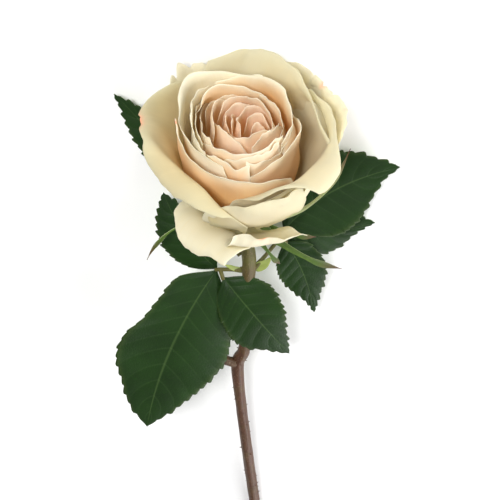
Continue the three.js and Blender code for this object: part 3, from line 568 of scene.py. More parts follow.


# Petal tissue: two soft skins over a thin wet layer, velvety matte, so light passes through and turns
# warm. On top of that the skin glows faintly as painted light: an emission, strongest where the tint is
# blush and weaker where it is peach, stands for light caught between the petals. The tint attribute holds
# peach in red, partly the rose's own colour and partly painted warm shade in the folds, green in green and
# blush in blue, and margins are cream. Main veins fan out from the claw, 1 to 2 mm apart where a petal is
# broad. The skin's cells are too fine to show, so they are drawn at 0.45 mm.
VEINS_ACROSS, VEINS_ALONG = 34.0, 1.6
petal_skin, add = new_material("rose_petal")
tints = add("SeparateColor", Color=add("Attribute", TINT)).outputs
spot = add("TexCoord").outputs
fan = add("Mapping", Vector=spot["UV"], Scale=(VEINS_ACROSS, VEINS_ALONG, 1.0))
warp = add("TexNoise", Vector=spot["Object"], Scale=per_metre(14.3), Detail=2.0).outputs["Color"]
bent_fan = add("VectorMath", "MULTIPLY_ADD", in_0=warp, in_1=(1.6, 0.5, 0.0), in_2=fan)
veins = add("TexNoise", Vector=bent_fan, Scale=1.0, Detail=5.0, Roughness=0.6)
cloud = add("TexNoise", Vector=spot["Object"], Scale=per_metre(18.2), Detail=3.0)
grain = add("TexNoise", Vector=spot["Object"], Scale=per_metre(0.455), Detail=2.0)
tone = add("Mix", COLOURS, in_0=cloud, in_6="#faf6df", in_7="#fdfbee")
# Peach share: partly the rose's own colour, partly painted warm shade in the folds, so #edb45a is a deep
# shaded tone.
peach_and_fold_shade_share = add("Math", "MULTIPLY_ADD", in_0=cloud, in_1=0.5, in_2=0.72)
peach_and_fold_shade_share = add("Math", "MULTIPLY", in_0=tints["Red"], in_1=peach_and_fold_shade_share)
vein_share = add("MapRange", Value=veins, From_Min=0.52, From_Max=0.72, To_Max=0.22)
for share, code in ((peach_and_fold_shade_share, "#edb45a"), (tints["Green"], "#c8bf8a"), (tints["Blue"], "#f4a98c"),
                    (vein_share, "#efe0b4")):
    tone = add("Mix", COLOURS, in_0=share, in_6=tone, in_7=code)
height = add("Math", "MULTIPLY", in_0=grain, in_1=0.12)
height = add("Math", "MULTIPLY_ADD", in_0=veins, in_1=1.0, in_2=height)
relief = add("Bump", Strength=0.35, Distance=0.00028, Height=height)
# Painted glow: an emission from the blush and peach tints stands for light caught between the petals.
painted_glow_strength = add("Math", "MULTIPLY", in_0=tints["Red"], in_1=0.05)
painted_glow_strength = add("Math", "MULTIPLY_ADD", in_0=tints["Blue"], in_1=0.17, in_2=painted_glow_strength)
skin = add("BsdfPrincipled", Base_Color=tone, Roughness=0.6, IOR=1.4, Specular_IOR_Level=0.3,
           Sheen_Weight=0.1, Sheen_Roughness=0.5, Emission_Color="#ffbc6c", Emission_Strength=painted_glow_strength,
           Normal=relief)
passed = add("Mix", COLOURS, in_0=0.35, in_6=tone, in_7="#ffeeb0")
glow = add("BsdfTranslucent", Color=passed, Normal=relief)
add("OutputMaterial", Surface=add("MixShader", in_0=0.3, in_1=skin, in_2=glow))

# The heart. The youngest petals, blush pink, stay folded in the middle: to the right they nest in a
# scroll, to the left they stand like pages. They grow from one small knob and are one piece here.
HEART = [
    dict(az=90, rim=(2.4, 45), half=4.5, off=(5.4, 1.8), base=(1, 16.5)),
    dict(az=85, rim=(4.6, 46), half=8, off=(5, 3.8), base=(1.3, 16)),
    dict(az=95, rim=(7, 47), half=10, off=(3.8, 5.5), base=(1.6, 15.5)),
    dict(az=300, rim=(5, 44.5), half=8, off=(3.4, 2), base=(1.2, 16)),
    dict(az=182, rim=(3.6, 47), half=6.5, off=(1, 4), base=(1.2, 16.3), round=2.5, crease=0.8),
    dict(az=176, rim=(6, 47.2), half=7.5, off=(1, 4), base=(1.4, 16), round=2, crease=-0.8),
    dict(az=184, rim=(8.4, 47.4), half=8, off=(1, 4), base=(1.6, 15.7), round=1.6, crease=0.8),
    dict(az=110, rim=(9.4, 48.2), half=8, off=(1, 4), base=(2, 15.4), round=1.2),
    dict(az=235, rim=(9.2, 45.6), half=8, off=(1, 4), base=(2, 15.2), round=1.1),
]
# Their blush is real, and it also drives the strongest painted glow of the petal material.
FOLDED = dict(lip=1.5, rise=-5, ruffle=0.4, leave=60, frill=0.08, roll=0.25, peach=0.25, green=0.0,
              blush=0.45)
pages = [petal_mesh({**FOLDED, "phase": 0.9 * k, **given}, 30, 24, (0.4, 0.2))
         for k, given in enumerate(HEART)]
heart = make_piece("heart_petals", joined(pages), petal_skin)
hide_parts("heart")

# The ring petals. They close in round the heart, each a step higher on the cone than the one outside
# it; the inner ones are blush, the outer ones peach with cream margins. The peach is partly painted warm
# shade in the folds, and the three on the left take little peach and stay pale: painted light on that side.
RINGS = [
    dict(az=234.8, rim=(21.7, 48), half=17, lean=-2.1, margin=(0.92, 0.94, 0.94, 0.99, 1, 0.97, 1)),
    dict(az=324.6, rim=(18.8, 47.5), half=19.3, spiral=0.8, lean=-3.1,
         margin=(0.94, 0.92, 0.88, 0.92, 0.97, 1, 0.98)),
    dict(az=280.5, rim=(18.4, 48.7), half=15.1, lean=2.2, margin=(0.91, 0.97, 1, 1, 0.98, 0.95, 0.94)),
    dict(az=86.7, rim=(16.7, 51.5), half=23.2, spiral=1.8, lean=3.7,
         margin=(0.87, 0.91, 0.96, 0.99, 1, 1, 0.96)),
    dict(az=171, peach=0.15, rim=(20.6, 50.5), half=17.5, spiral=-0.5, lean=0.6,
         margin=(0.88, 0.91, 0.93, 0.94, 0.94, 0.94, 0.95)),
    dict(az=22.3, rim=(14.9, 49.5), half=12.8, spiral=0.6, lean=2.6,
         margin=(0.88, 0.9, 0.92, 0.93, 0.94, 0.94, 0.92)),
    dict(az=268.2, rim=(17.9, 50.1), half=23.4, lean=-2.3, margin=(0.84, 0.92, 0.96, 1, 1.01, 1.01, 0.99)),
    dict(az=184.5, peach=0.15, rim=(18.6, 49.8), half=16.2, off=(0.4, 1.5),
         margin=(0.86, 0.89, 0.91, 0.92, 0.93, 0.96, 0.94)),
    dict(az=107.5, rim=(15.7, 50.2), half=14.4, off=(0.5, 1.5), spiral=0.6,
         margin=(0.82, 0.89, 0.93, 0.93, 0.91, 0.91, 0.88)),
    dict(az=325.4, rim=(12.6, 48.2), half=11, off=(0.6, 2), lean=-1.1,
         margin=(0.91, 0.97, 0.98, 0.99, 0.98, 0.94, 0.84)),
    dict(az=158, peach=0.15, rim=(14, 48.8), half=12, off=(0.8, 3)),
    dict(az=39, rim=(10, 48.6), half=12.5, off=(0.8, 3), lean=3.3,
         margin=(0.95, 0.98, 0.99, 0.99, 0.98, 0.93, 0.84)),
    dict(az=222, rim=(13, 47), half=13, off=(1, 4)),
    dict(az=292, rim=(10.6, 46.6), half=13, off=(1, 4), round=1.6, corner=0.14),
    dict(az=112, rim=(11.2, 48.6), half=11, off=(1, 4)),
]
CLOSING = dict(rise=-8, lip=4, curl=-10, ruffle=0.25, frill=0.12, roll=0.3, fade=3.5, green=0.0)
for k in range(len(RINGS) - 1, -1, -1):
    f = k / (len(RINGS) - 1)
    stepped = dict(phase=k * 1.3, base=(mix(5.5, 2.4, f), mix(4.2, 15, f)), peach=mix(0.75, 0.35, f),
                   blush=mix(0.0, 0.28, f**1.5))
    shape = petal_mesh({**CLOSING, **stepped, **RINGS[k]}, 44, 40, (0.42, 0.18))
    petal = make_piece(f"ring_petal_{k + 1:02d}", shape, petal_skin)
    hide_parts(f"ring_{k + 1:02d}")

# The cup petals. Five broad petals stand round the rings; their bases are peach, partly painted warm
# shade with a faint painted glow, and their margins are cream, ruffled and rolled back a little. The two
# on the left take little peach and stay pale: painted light on that side.
CUPPED = dict(peach=0.95, green=0.05, fade=6.5, frill=0.16, roll=0.45)
CUPS = dict(
    cup_left=dict(
        az=178.5, peach=0.2, rim=(22, 52.7), half=21, base=(5.9, 3), rise=-2, phase=2.8, ruffle=0.4,
        margin=(0.95, 0.98, 0.98, 0.97, 0.96, 0.96, 0.96)),
    cup_back_right=dict(
        az=45.5, rim=(19.2, 55), half=28.7, base=(5.9, 2.6), rise=-2, spiral=2, phase=0.6, ruffle=0.4,
        lean=1.7, margin=(0.87, 0.92, 0.96, 1, 0.99, 0.96, 0.91)),
    cup_back_left=dict(
        az=154.6, peach=0.15, rim=(26.8, 52.1), half=42.6, base=(6.2, 1.2), rise=4, round=0.82, lip=6,
        curl=50, ruffle=0.9, phase=1.1, lean=-0.9, margin=(0.94, 0.95, 0.97, 0.98, 0.92, 0.9, 0.87)),
    cup_right=dict(
        az=334.6, rim=(21.8, 49), half=24.6, base=(6.1, 1.6), rise=0, spiral=-0.6, phase=2.1, ruffle=0.5,
        lean=3, margin=(0.92, 0.95, 0.96, 0.96, 0.96, 0.91, 0.8)),
    cup_front=dict(
        az=246, fade=4.5, pink=((-0.95, 0.03, 5.0),), peach=1.0, rim=(27.4, 50.2), half=34.3,
        base=(6.2, 0.6), rise=-1, round=1.05, phase=0.1, ruffle=0.6, lean=-5.6,
        margin=(0.98, 0.93, 0.91, 0.93, 0.96, 0.96, 0.84)),
)


def open_petals(table, shared, rows, cols):
    """Makes each petal of a table, on a grid of so many cells along and across."""
    for name, given in table.items():
        shape = petal_mesh({**shared, **given}, rows, cols)
        petal = make_piece(name + "_petal", shape, petal_skin)
        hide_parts(name)


open_petals(CUPS, CUPPED, 60, 64)

# The outer petals. Four large petals with broad lips turned outwards, cream, a little green outside
# towards the claw, with a reddish nick here and there on the margin.
OPENED = dict(peach=0.4, green=0.75, fade=22, frill=0.3, roll=0.6)
OUTERS = dict(
    outer_right=dict(
        az=338.5, half=36.5, base=(6.5, -2),
        rim=((32.5, 34, 33, 33.5, 34.5, 34, 33.5, 32.5, 31.5), (43, 46, 43.5, 45, 46, 47, 48, 49, 49)),
        rise=(45, 45, 30, 28, 22, 18, 18, 18, 18), lip=(2, 3, 17, 18, 9, 4, 4, 4, 3),
        curl=(10, 30, 175, 175, 120, 50, 30, 30, 30), full=0.9, phase=1.9,
        margin=(0.96, 1, 1, 1, 1, 1, 0.98)),
    outer_back=dict(
        az=40, half=55, base=(6.4, -0.6),
        rim=((24.5, 24.5, 25, 28, 33, 37.5, 37), (41, 46, 51.5, 54, 52, 49.5, 49)),
        rise=(5, 5, 6, 10, 20, 26, 24), lip=(2, 2, 3, 4, 5, 5, 5), curl=(10, 15, 20, 25, 30, 30, 30),
        phase=2.9, low=2.35, margin=(0.95, 1, 1, 1, 1, 1, 0.96)),
    outer_front=dict(
        az=279, half=23, base=(6.3, -0.6), rim=((34, 35, 35.5, 35.5, 36), (33, 39, 42.5, 42, 40.5)),
        rise=2, lip=2, curl=15, ruffle=0.5, phase=1.2, margin=(1, 1, 1, 1, 1)),
    # Its stronger peach and green tint darken it: painted shade, where the middle of the bloom shades its
    # inner face.
    outer_left=dict(
        az=196, half=45, base=(6.5, -2.4), peach=0.7, green=1.0, fade=12, pink=((-0.38, 0.13, 1.0),),
        nicks=((-0.3, 0.012, 0.03), (-0.45, 0.015, 0.04)),
        rim=((34, 39, 38, 36.8, 33, 34, 34.5), (46, 44, 47.5, 48.5, 46.5, 43, 30.5)),
        rise=(25, 40, 45, 40, 28, 20, 12), lip=(5, 6, 7, 7, 14, 11, 4), curl=(30, 25, 25, 35, 172, 165, 60),
        full=0.92, ruffle=1.1, phase=2.2, margin=(0.96, 1, 1, 1, 1, 1, 1)),
)
open_petals(OUTERS, OPENED, 64, 72)

# The guard petals. The outermost five, the first to open: two fold right down in front, the others
# spread behind. They are paler and greener than the rest, with torn and curled margins.
SPREAD = dict(peach=0.25, green=0.4, fade=26, frill=0.4, roll=0.6)
GUARDS = dict(
    guard_back_left=dict(
        az=130, nicks=((-0.3, 0.03, 0.09), (0.25, 0.04, 0.08)), rim=(39.2, 48.3), half=15.2,
        base=(6.9, -4), leave=75, rise=22, round=1.2, lip=5, curl=50, ruffle=1.6, phase=1.5, lean=1,
        margin=(0.88, 0.95, 0.95, 1, 0.94, 0.89, 0.81)),
    guard_back=dict(
        az=68, rim=((38, 39.5, 39.5, 39, 37), (44, 46, 46, 45, 43)), half=32, base=(6.9, -3.4), leave=75,
        rise=20, round=1.1, lip=4, curl=40, ruffle=0.9, phase=0.9, low=1.35, margin=(0.93, 1, 1, 1, 0.95)),
    guard_right=dict(
        az=14, pink=((0.72, 0.07, 1.2),),
        nicks=((0.72, 0.03, 0.05), (0.4, 0.025, 0.04), (0.05, 0.02, 0.06)),
        rim=((35, 39, 39.5, 38.5, 38), (44.5, 46, 46.5, 47, 46)), half=24, base=(6.9, -4.8), leave=75,
        rise=25, lip=4, curl=40, full=0.9, ruffle=1.1, phase=0.3, margin=(0.85, 0.97, 1, 1, 1)),
    guard_front_right=dict(
        az=290, pink=((-0.25, 0.12, 1.2),), rim=(23.8, 2.5), half=18.6, base=(6.9, -4), leave=92,
        belly=0.5, rise=88, round=1.5, lip=20, curl=-110, ruffle=1, phase=2.5, lean=-1.7,
        margin=(0.94, 1, 0.94, 0.89, 0.85, 0.79, 0.66)),
    guard_front_left=dict(
        az=222, rim=(17.7, 2.5), half=24.5, base=(6.9, -5.4), leave=90, belly=0.5, rise=55, round=1.7,
        lip=20.4, curl=112, ruffle=1.2, phase=0.5, lean=1.9,
        margin=(0.63, 0.78, 0.91, 0.99, 1, 0.95, 0.98)),
)
open_petals(GUARDS, SPREAD, 60, 60)

# The leaves. Each is a compound leaf: a thin stalk with narrow wings at its foot, and three leaflets
# with toothed margins, or one. The blades are quilted between their side veins, dark and waxy above,
# pale and dull below, and come to a point.
LEAVES = dict(
    leaf_left=dict(
        stalks=[((-1, -33.6, 20.5), (-7.5, -33.2, 20.6), (-14, -34.6, 18.6)),
                ((-11.5, -34, 19.6), (-11, -36, 20.4), (-10.2, -38.5, 21))],
        blades=[
            dict(start=(-13.2, -34.6, 19), via=(-35.5, -72.5, 29), end=(-50, -123.5, 28),
                 widths=((0, 15.2, 22.2, 25.5, 27.2, 24, 18.2, 10.5, 0),
                         (0, 13, 15.3, 17.6, 23, 22.8, 17, 10.8, 0)),
                 lift=(-5, 3), up=(-0.1, 0, 1), teeth=20, wave=1.2, veins=10),
            dict(start=(-10.3, -37.6, 20.8), via=(4.2, -55.2, 26.5), end=(21.5, -81.8, 21.5),
                 widths=((0, 8.8, 13, 15, 14.2, 12.2, 7.8, 3.8, 0),
                         (0, 9, 12.5, 14.5, 15.8, 16.5, 14.2, 6.5, 0)),
                 lift=(-1, -1), up=(0.05, 0, 1), teeth=17, phase=1, veins=8),
            dict(start=(-13.2, -34.2, 18.7), via=(-27.4, -17.5, 15.5), end=(-37, 2.4, 11.5),
                 widths=((0, 7, 11.2, 12.4, 12.6, 11.2, 8.6, 4.4, 0),
                         (0, 6.5, 10.5, 12, 11.8, 10.4, 7.5, 3.6, 0)),
                 lift=(-1.5, 1), teeth=15, phase=2, veins=8)],
        wing=dict(start=(-2.8, -33.6, 20.8), via=(-5.4, -31.5, 22), end=(-9.5, -29.4, 22.6),
                  halves=(1.5, 1.6))),
    leaf_right=dict(
        stalks=[((2.4, -34.5, 20.4), (10.5, -25.5, 18.2), (18.5, -15.6, 14.2)),
                ((15.5, -19, 15.9), (17, -20.4, 15.2), (19.2, -22.6, 13.6))],
        blades=[
            dict(start=(17.8, -16.2, 14.2), via=(39.5, 1.2, 8.4), end=(70.3, 12, 5),
                 widths=((0, 8, 13, 15.5, 16, 15.5, 12.2, 6, 0), (0, 12, 18.5, 20.5, 20.2, 18, 12, 4, 0)),
                 lift=(-4, 1), teeth=16, phase=0.5, veins=9),
            dict(start=(18.2, -21.6, 14.2), via=(27.8, -41.6, 12.5), end=(33.8, -66.5, 8.5),
                 widths=((0, 7.5, 9.8, 11.2, 10.8, 8.5, 5.2, 2.2, 0),
                         (0, 6, 9.5, 10.8, 10.8, 9.2, 5.5, 1.8, 0)),
                 lift=(-0.6, -0.6), teeth=14, phase=2.5, veins=8),
            dict(start=(18.4, -21, 13.8), via=(38.5, -22.8, 5.6), end=(61.2, -18.4, 2.6),
                 widths=((0, 5.5, 8.5, 10.5, 11, 10.5, 8.5, 5, 0), (0, 6, 9, 10.5, 10.5, 8.8, 4.2, 1.2, 0)),
                 lift=(0, -0.5), teeth=13, phase=1.5, veins=8)],
        wing=dict(start=(4.4, -32.4, 20.2), via=(8.4, -30.4, 20.4), end=(11.5, -26.2, 21.4),
                  halves=(2.6, 2.8))),
    leaf_back=dict(
        stalks=[((-2.2, -25.5, 20), (-14, -13.5, 11), (-26.5, 4.5, 6.4))],
        blades=[dict(start=(-25.6, 3.4, 6.6), via=(-40, 26, 4.4), end=(-57, 47, 3.8), halves=(9, 8),
                     lift=(0, 0.8), teeth=13, phase=0.8, veins=7)],
        wing=dict(start=(-4, -24, 18.8), via=(-5.6, -20, 18), end=(-8.6, -16.4, 18.4), halves=(1.3, 1.4))),
)
# In millimetres, start, via and end are points of a midrib, widths are the half widths left and right of
# it from foot to tip, and lift is how far its halves fold up. TOOTH gives the rows of points along one
# tooth, as shares of its length. The ribs, and the trough over the midrib, have a height and a width.
TOOTH = np.array([0, 0.22, 0.45, 0.64, 0.8, 0.9])
TOOTH_TOP, RIM_THICK, SIDE_RIB = 0.72, 0.12, 0.16
TROUGH, TROUGH_WIDE, MIDRIB, MIDRIB_WIDE = 0.35, 1.3, 0.95, 0.75
STALK_RINGS, STALK_SIDES, FOOT_RADIUS, FORK_RADIUS, STALK_RADIUS = 30, 14, 1.35, 1.0, 0.9


def bent(start, via, end, t):
    """A curve through three points."""
    start, via, end = (np.array(q, float) for q in (start, via, end))
    t = np.asarray(t, float)[..., None]
    return (1 - t) ** 2 * start + 2 * t * (1 - t) * (2 * via - (start + end) / 2) + t * t * end


def leaf_outline(t):
    return np.sin(np.pi * np.clip(t, 0, 1) ** 0.72) ** 0.85 * (1 - 0.35 * smooth(0.7, 1, t))


def blade(given, outline=leaf_outline, rows=0, cells_across=26, thick=0.3):
    """Points, faces, UV and tint of one flat blade, closed all round. UV runs across it and along its
    side veins; tint is 1 in red on the lower face, and grows in green towards the margin."""
    p = dict(up=(0, 0, 1), teeth=0, depth=0.95, lift=(0, 0), wave=0.6, phase=0, low=0.4, veins=8, quilt=0.2)
    p.update(given)
    teeth, phase = p["teeth"], p["phase"]
    t = np.linspace(0, 1, rows)
    if teeth:
        t = np.concatenate([(k + TOOTH) / teeth for k in range(teeth)] + [[1.0]])
    curve = p["start"], p["via"], p["end"]
    centre = bent(*curve, t)
    ahead = unit(bent(*curve, t + 0.02) - bent(*curve, t - 0.02))
    right = unit(np.cross(ahead, np.array(p["up"], float)))
    over = np.cross(right, ahead)
    even = np.linspace(-1, 1, cells_across + 1)
    u = 0.45 * np.sin(even * math.pi / 2) + 0.55 * even
    T, U = np.meshgrid(t, u, indexing="ij")
    out = np.abs(U)
    side = (U > 0).astype(int)
    saw = (T * teeth + 0.35 * side) % 1
    uneven = 1 + 0.35 * np.sin(2.7 * np.floor(T * teeth + 0.35 * side) + 3 * side + phase)
    tooth = (np.where(saw < TOOTH_TOP, saw / TOOTH_TOP, (1 - saw) / (1 - TOOTH_TOP)) ** 0.9
             * smooth(0.02, 0.15, T) * (1 - smooth(0.93, 1, T)) * uneven * p["depth"] * bool(teeth))
    if "widths" in p:
        half = np.where(side, through(p["widths"][1], T), through(p["widths"][0], T))
    else:
        half = np.where(side, p["halves"][1], p["halves"][0]) * outline(T)
    half = np.maximum(half, 0.12)
    rim = out ** 6
    x = U * (half + tooth * rim)
    along = T - 0.17 * out ** 1.15
    beat = (along * p["veins"]) % 1
    between = np.minimum(beat, 1 - beat) * 2
    quilt = p["quilt"] * (smooth(0, 0.7, between) - 0.6) * smooth(0.02, 0.25, out) * (
        1 - 0.8 * smooth(0.7, 1, out)) * smooth(0, 0.1, T) * (1 - smooth(0.8, 1, T))
    trough = -TROUGH * np.exp(-((x / TROUGH_WIDE) ** 2)) * (1 - T)
    height = (np.where(side, p["lift"][1], p["lift"][0]) * U * U * outline(T)
              + p["wave"] * U * U * np.sin(11 * T + phase + side * 2) * outline(T)
              + 0.22 * p["wave"] * rim * np.sin(31 * T + 2 * phase + side) * outline(T) + quilt + trough)
    sheet = (centre[:, None] + right[:, None] * x[..., None] + over[:, None] * height[..., None]
             + ahead[:, None] * (0.95 * tooth * rim)[..., None])
    sheet = rest(sheet, p["low"])
    normal = unit(np.cross(np.gradient(sheet, axis=1), np.gradient(sheet, axis=0)))
    normal = normal * np.sign(np.sum(normal * over[:, None], -1, keepdims=True) + 1e-9)
    rib = MIDRIB * np.exp(-((x / MIDRIB_WIDE) ** 2)) * (1 - 0.75 * T)
    rib = rib + SIDE_RIB * (1 - smooth(0, 0.3, between)) * smooth(0.0, 0.1, out) * (1 - out)
    rib = rib * (1 if teeth else 0.3)
    wide = mix(RIM_THICK, thick, smooth(0, 1.2, (1 - out) * half))[..., None] / 2
    top, bottom = sheet + normal * wide, sheet - normal * (wide + rib[..., None])
    bottom[..., 2] = np.maximum(bottom[..., 2], TABLE_GAP)
    middle = len(sheet) // 2
    across, down = (sheet[k] - sheet[middle, 0] for k in ((middle, 1), (middle + 1, 0)))
    points, faces = closed_sheet(top, bottom, np.dot(np.cross(across, down), normal[middle, 0]) > 0)
    uv = np.stack([(U + 1) / 2, along], -1).reshape(-1, 2)
    shade = [np.stack([np.full(T.shape, lower), smooth(0.86, 1.0, out), T], -1).reshape(-1, 3)
             for lower in (0.0, 1.0)]
    return points, faces, np.concatenate([uv, uv]), np.concatenate(shade)


def stalk_shape(k, curve):
    """Points, faces, UV and tint of a leaf's main stalk, thick at its foot, or of the fork on it."""
    far = np.linspace(0, 1, STALK_RINGS)
    path = bent(*curve, far)
    size = mix(FORK_RADIUS if k else FOOT_RADIUS, STALK_RADIUS, smooth(0, 0.5, far))
    around = 2 * math.pi * np.arange(STALK_SIDES) / STALK_SIDES
    rings = swept(path, size[:, None] * (1 + 0.06 * np.cos(2 * around)[None]), STALK_SIDES)
    points = np.vstack([rings.reshape(-1, 3), path[0], path[-1]])
    faces = tube_faces(STALK_RINGS, STALK_SIDES)
    return points, faces, np.zeros((len(points), 2)), np.tile([0.32, 0.0, 0.0], (len(points), 1))


def wing_outline(t):
    return np.sin(np.pi * np.clip(t, 0.02, 1) ** 0.5) ** 0.6


# Leaf blade: a waxy skin over green tissue. The upper face is dark and half glossy, the lower one pale
# and dull. A net of fine veins puckers the skin, and is drawn a little coarse, at 1.3 mm a mesh, to show.
# The side veins are drawn from the UV map, so there is a material for each number of vein pairs.
leaf_skin = {}
for veins in (7, 8, 9, 10):
    leaf_skin[veins], add = new_material(f"rose_leaf_{veins}_vein_pairs")
    tints = add("SeparateColor", Color=add("Attribute", TINT)).outputs
    spot = add("TexCoord").outputs
    flat = add("SeparateXYZ", Vector=spot["UV"]).outputs
    from_rib = add("Math", "SUBTRACT", in_0=flat["X"], in_1=0.5)
    from_rib = add("Math", "ABSOLUTE", in_0=from_rib)
    beat = add("Math", "MULTIPLY", in_0=flat["Y"], in_1=float(veins))
    beat = add("Math", "PINGPONG", in_0=beat, in_1=0.5)
    side_vein = add("MapRange", Value=beat, From_Max=0.075, To_Min=1.0, To_Max=0.0)
    fading = add("Math", "MULTIPLY", in_0=from_rib, in_1=1.7)
    fading = add("Math", "SUBTRACT", in_0=1.0, in_1=fading)
    side_vein = add("Math", "MULTIPLY", in_0=side_vein, in_1=fading)
    midrib = add("MapRange", Value=from_rib, From_Min=0.005, From_Max=0.017, To_Min=1.0, To_Max=0.0)
    net = add("TexVoronoi", {"feature": "DISTANCE_TO_EDGE"}, Vector=spot["Object"], Scale=per_metre(1.33))
    pucker = add("MapRange", Value=net, From_Max=0.3)
    cloud = add("TexNoise", Vector=spot["Object"], Scale=per_metre(16.7), Detail=5.0)
    upper = add("Mix", COLOURS, in_0=cloud, in_6="#0d2006", in_7="#1f3e10")
    for line, strength, code in ((side_vein, 0.12, "#4c6a38"), (midrib, 0.25, "#5a7440")):
        share = add("Math", "MULTIPLY", in_0=line, in_1=strength)
        upper = add("Mix", COLOURS, in_0=share, in_6=upper, in_7=code)
    lower = add("Mix", COLOURS, in_0=cloud, in_6="#6f8658", in_7="#93a578")
    share = add("Math", "MULTIPLY", in_0=side_vein, in_1=0.5)
    lower = add("Mix", COLOURS, in_0=share, in_6=lower, in_7="#aebb8a")
    tone = add("Mix", COLOURS, in_0=tints["Red"], in_6=upper, in_7=lower)
    rim_share = add("Math", "MULTIPLY", in_0=tints["Green"], in_1=0.12)
    tone = add("Mix", COLOURS, in_0=rim_share, in_6=tone, in_7="#6d7a44")
    height = add("Math", "MULTIPLY", in_0=side_vein, in_1=-1.0)
    height = add("Math", "MULTIPLY_ADD", in_0=pucker, in_1=0.5, in_2=height)
    relief = add("Bump", Strength=0.35, Distance=0.0002, Height=height)
    gloss = add("MapRange", Value=tints["Red"], To_Min=0.5, To_Max=0.65)
    skin = add("BsdfPrincipled", Base_Color=tone, Roughness=gloss, IOR=1.45, Specular_IOR_Level=0.25,
               Subsurface_Weight=0.04, Subsurface_Radius=(0.3, 0.6, 0.15), Subsurface_Scale=0.0008,
               Normal=relief)
    add("OutputMaterial", Surface=skin)

for name, leaf in LEAVES.items():
    for k, given in enumerate(leaf["blades"]):
        leaflet = make_piece(f"{name}_leaflet_{k + 1}", blade(given), leaf_skin[given["veins"]])
        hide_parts(name)
    stalks = joined([stalk_shape(k, curve) for k, curve in enumerate(leaf["stalks"])])
    stalk = make_piece(name + "_stalk", stalks, bark)
    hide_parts(name)
    wing = blade(dict(leaf["wing"], wave=0.2, lift=(0.3, 0.3), quilt=0.0), wing_outline, 36, 8)
    stipule = make_piece(name + "_stipule", wing, hip_skin)
    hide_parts(name)

# The sepals. Five narrow green leaves grow from the rim of the hip and folded back as the bud opened.
# They are downy and pale inside, green outside, with brown dried tips, and the longest ends in a small
# leafy lobe.
SEPALS = dict(
    sepal_leafy=dict(start=(5.6, -6.4, 25.6), via=(24.5, -21.6, 25.2), end=(44.5, -30.7, 24),
                     halves=(4.8, 4.8), up=(0, -0.5, 1)),
    sepal_right=dict(start=(6.3, -5.4, 24), via=(19.5, -10, 26.5), end=(31.8, -12.3, 26),
                     halves=(3.4, 3.4), up=(0, -0.4, 1)),
    sepal_front=dict(start=(3, -7, 28.4), via=(10.5, -18.6, 28.5), end=(16, -29.3, 22),
                     halves=(2.6, 2.6), up=(0, -0.4, 1)),
    sepal_back=dict(start=(5.2, -4.6, 20.4), via=(29, 1.2, 20.5), end=(45, 31, 25),
                    halves=(2.4, 2.4), up=(0.5, -0.5, -0.5)),
    sepal_left=dict(start=(-6.4, -6.2, 23.6), via=(-30.4, -9.6, 22.2), end=(-45.2, -27.7, 21),
                    halves=(1.7, 1.7), up=(0, -0.3, 1)),
)


def sepal_outline(t):
    lobe = 0.42 * np.exp(-(((t - 0.78) / 0.13) ** 2)) * (1 - smooth(0.9, 1, t))
    return (1 - t) ** 0.8 * (1 - 0.45 * smooth(0.05, 0.4, t)) + lobe


# Sepal tissue: soft green skin under short down, so it is matte. The down is drawn at 0.24 mm, coarser
# than it is, to show. The tint attribute holds the lower face in red and the way to the tip in blue.
sepal_skin, add = new_material("rose_sepal")
tints = add("SeparateColor", Color=add("Attribute", TINT)).outputs
spot = add("TexCoord").outputs["Object"]
cloud = add("TexNoise", Vector=spot, Scale=per_metre(3.125), Detail=5.0)
down = add("TexNoise", Vector=spot, Scale=per_metre(0.238), Detail=2.0)
green = add("Mix", COLOURS, in_0=cloud, in_6="#34500f", in_7="#5a7424")
pale = add("Mix", COLOURS, in_0=down, in_6="#9aa86c", in_7="#c6cba0")
tone = add("Mix", COLOURS, in_0=tints["Red"], in_6=green, in_7=pale)
dried = add("MapRange", Value=tints["Blue"], From_Min=0.72, From_Max=0.98)
tone = add("Mix", COLOURS, in_0=dried, in_6=tone, in_7="#5c3629")
height = add("Math", "MULTIPLY_ADD", in_0=down, in_1=0.6, in_2=cloud)
relief = add("Bump", Strength=0.5, Distance=0.0002, Height=height)
skin = add("BsdfPrincipled", Base_Color=tone, Roughness=0.62, IOR=1.42, Sheen_Weight=0.1,
           Sheen_Roughness=0.4, Subsurface_Weight=0.12, Subsurface_Radius=(0.4, 0.7, 0.2),
           Subsurface_Scale=0.0008, Normal=relief)
add("OutputMaterial", Surface=skin)

for k, (name, given) in enumerate(SEPALS.items()):
    given = dict(given, wave=0.5, lift=(0.9, 0.9), quilt=0.0, phase=1.3 * k)
    sepal = make_piece(name + "_skin", blade(given, sepal_outline, 70, 14, 0.5), sepal_skin)
    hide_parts(name)

# The studio. A white table under the rose, three large soft lamps and white light all round, and the
# camera as the photograph was taken: nearly half a metre away, looking down at a steep slope.

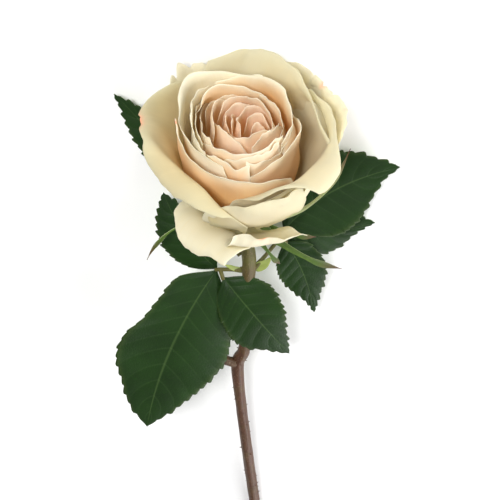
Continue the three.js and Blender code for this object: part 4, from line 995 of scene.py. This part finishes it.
# Table paper: white, uncoated and faintly cloudy from its fibres, so it is dull and takes soft shadows.
table_paper, add = new_material("white_table_paper")
spot = add("TexCoord").outputs["Object"]
fibre = add("TexNoise", Vector=spot, Scale=per_metre(1.11), Detail=2.0)
tone = add("Mix", COLOURS, in_0=fibre, in_6="#fafafa", in_7="#fdfdfd")
add("OutputMaterial", Surface=add("BsdfPrincipled", Base_Color=tone, Roughness=0.9))
TABLE_HALF = 4
table = bpy.data.meshes.new("table_top")
ends = (-TABLE_HALF, TABLE_HALF)
table.from_pydata([(x, y, 0) for y in ends for x in ends], [], [(0, 1, 3, 2)])
table.materials.append(table_paper)
table_top = put_in_scene("table_top", table)

AIM = Vector((0, 0.09, 0.03))
LAMPS = dict(
    front_lamp=dict(at=(-0.28, 0.5, 0.78), size=0.4, energy=6.7),
    right_lamp=dict(at=(0.85, 0.09, 0.34), size=0.4, energy=6.2),
    low_lamp=dict(at=(0.42, -0.64, 0.34), size=0.45, energy=4.0),
)
for name, given in LAMPS.items():
    lamp = bpy.data.lights.new(name, "AREA")
    lamp.shape, lamp.size, lamp.energy = "DISK", given["size"], given["energy"]
    stand = put_in_scene(name, lamp)
    stand.location = given["at"]
    stand.rotation_euler = (AIM - Vector(given["at"])).to_track_quat("-Z", "Y").to_euler()
world = bpy.data.worlds.new("white_room")
world.use_nodes = True
world.node_tree.nodes["Background"].inputs["Color"].default_value = (1, 1, 1, 1)
world.node_tree.nodes["Background"].inputs["Strength"].default_value = 0.36
bpy.context.scene.world = world
bpy.context.scene.view_settings.view_transform = "Standard"

TILT = math.radians(32)
LENS, SENSOR, NEAREST, FARTHEST = 70.0, 36.0, 0.01, 20.0
EYE = (-0.002339, 0.286412, 0.398567)
eye = bpy.data.cameras.new("camera")
eye.lens, eye.sensor_width, eye.clip_start, eye.clip_end = LENS, SENSOR, NEAREST, FARTHEST
camera = put_in_scene("camera", eye)
right, up, back = (1, 0, 0), (0, math.cos(TILT), -math.sin(TILT)), (0, math.sin(TILT), math.cos(TILT))
camera.matrix_world = Matrix([[right[k], up[k], back[k], EYE[k]] for k in range(3)] + [[0, 0, 0, 1]])
bpy.context.scene.camera = camera
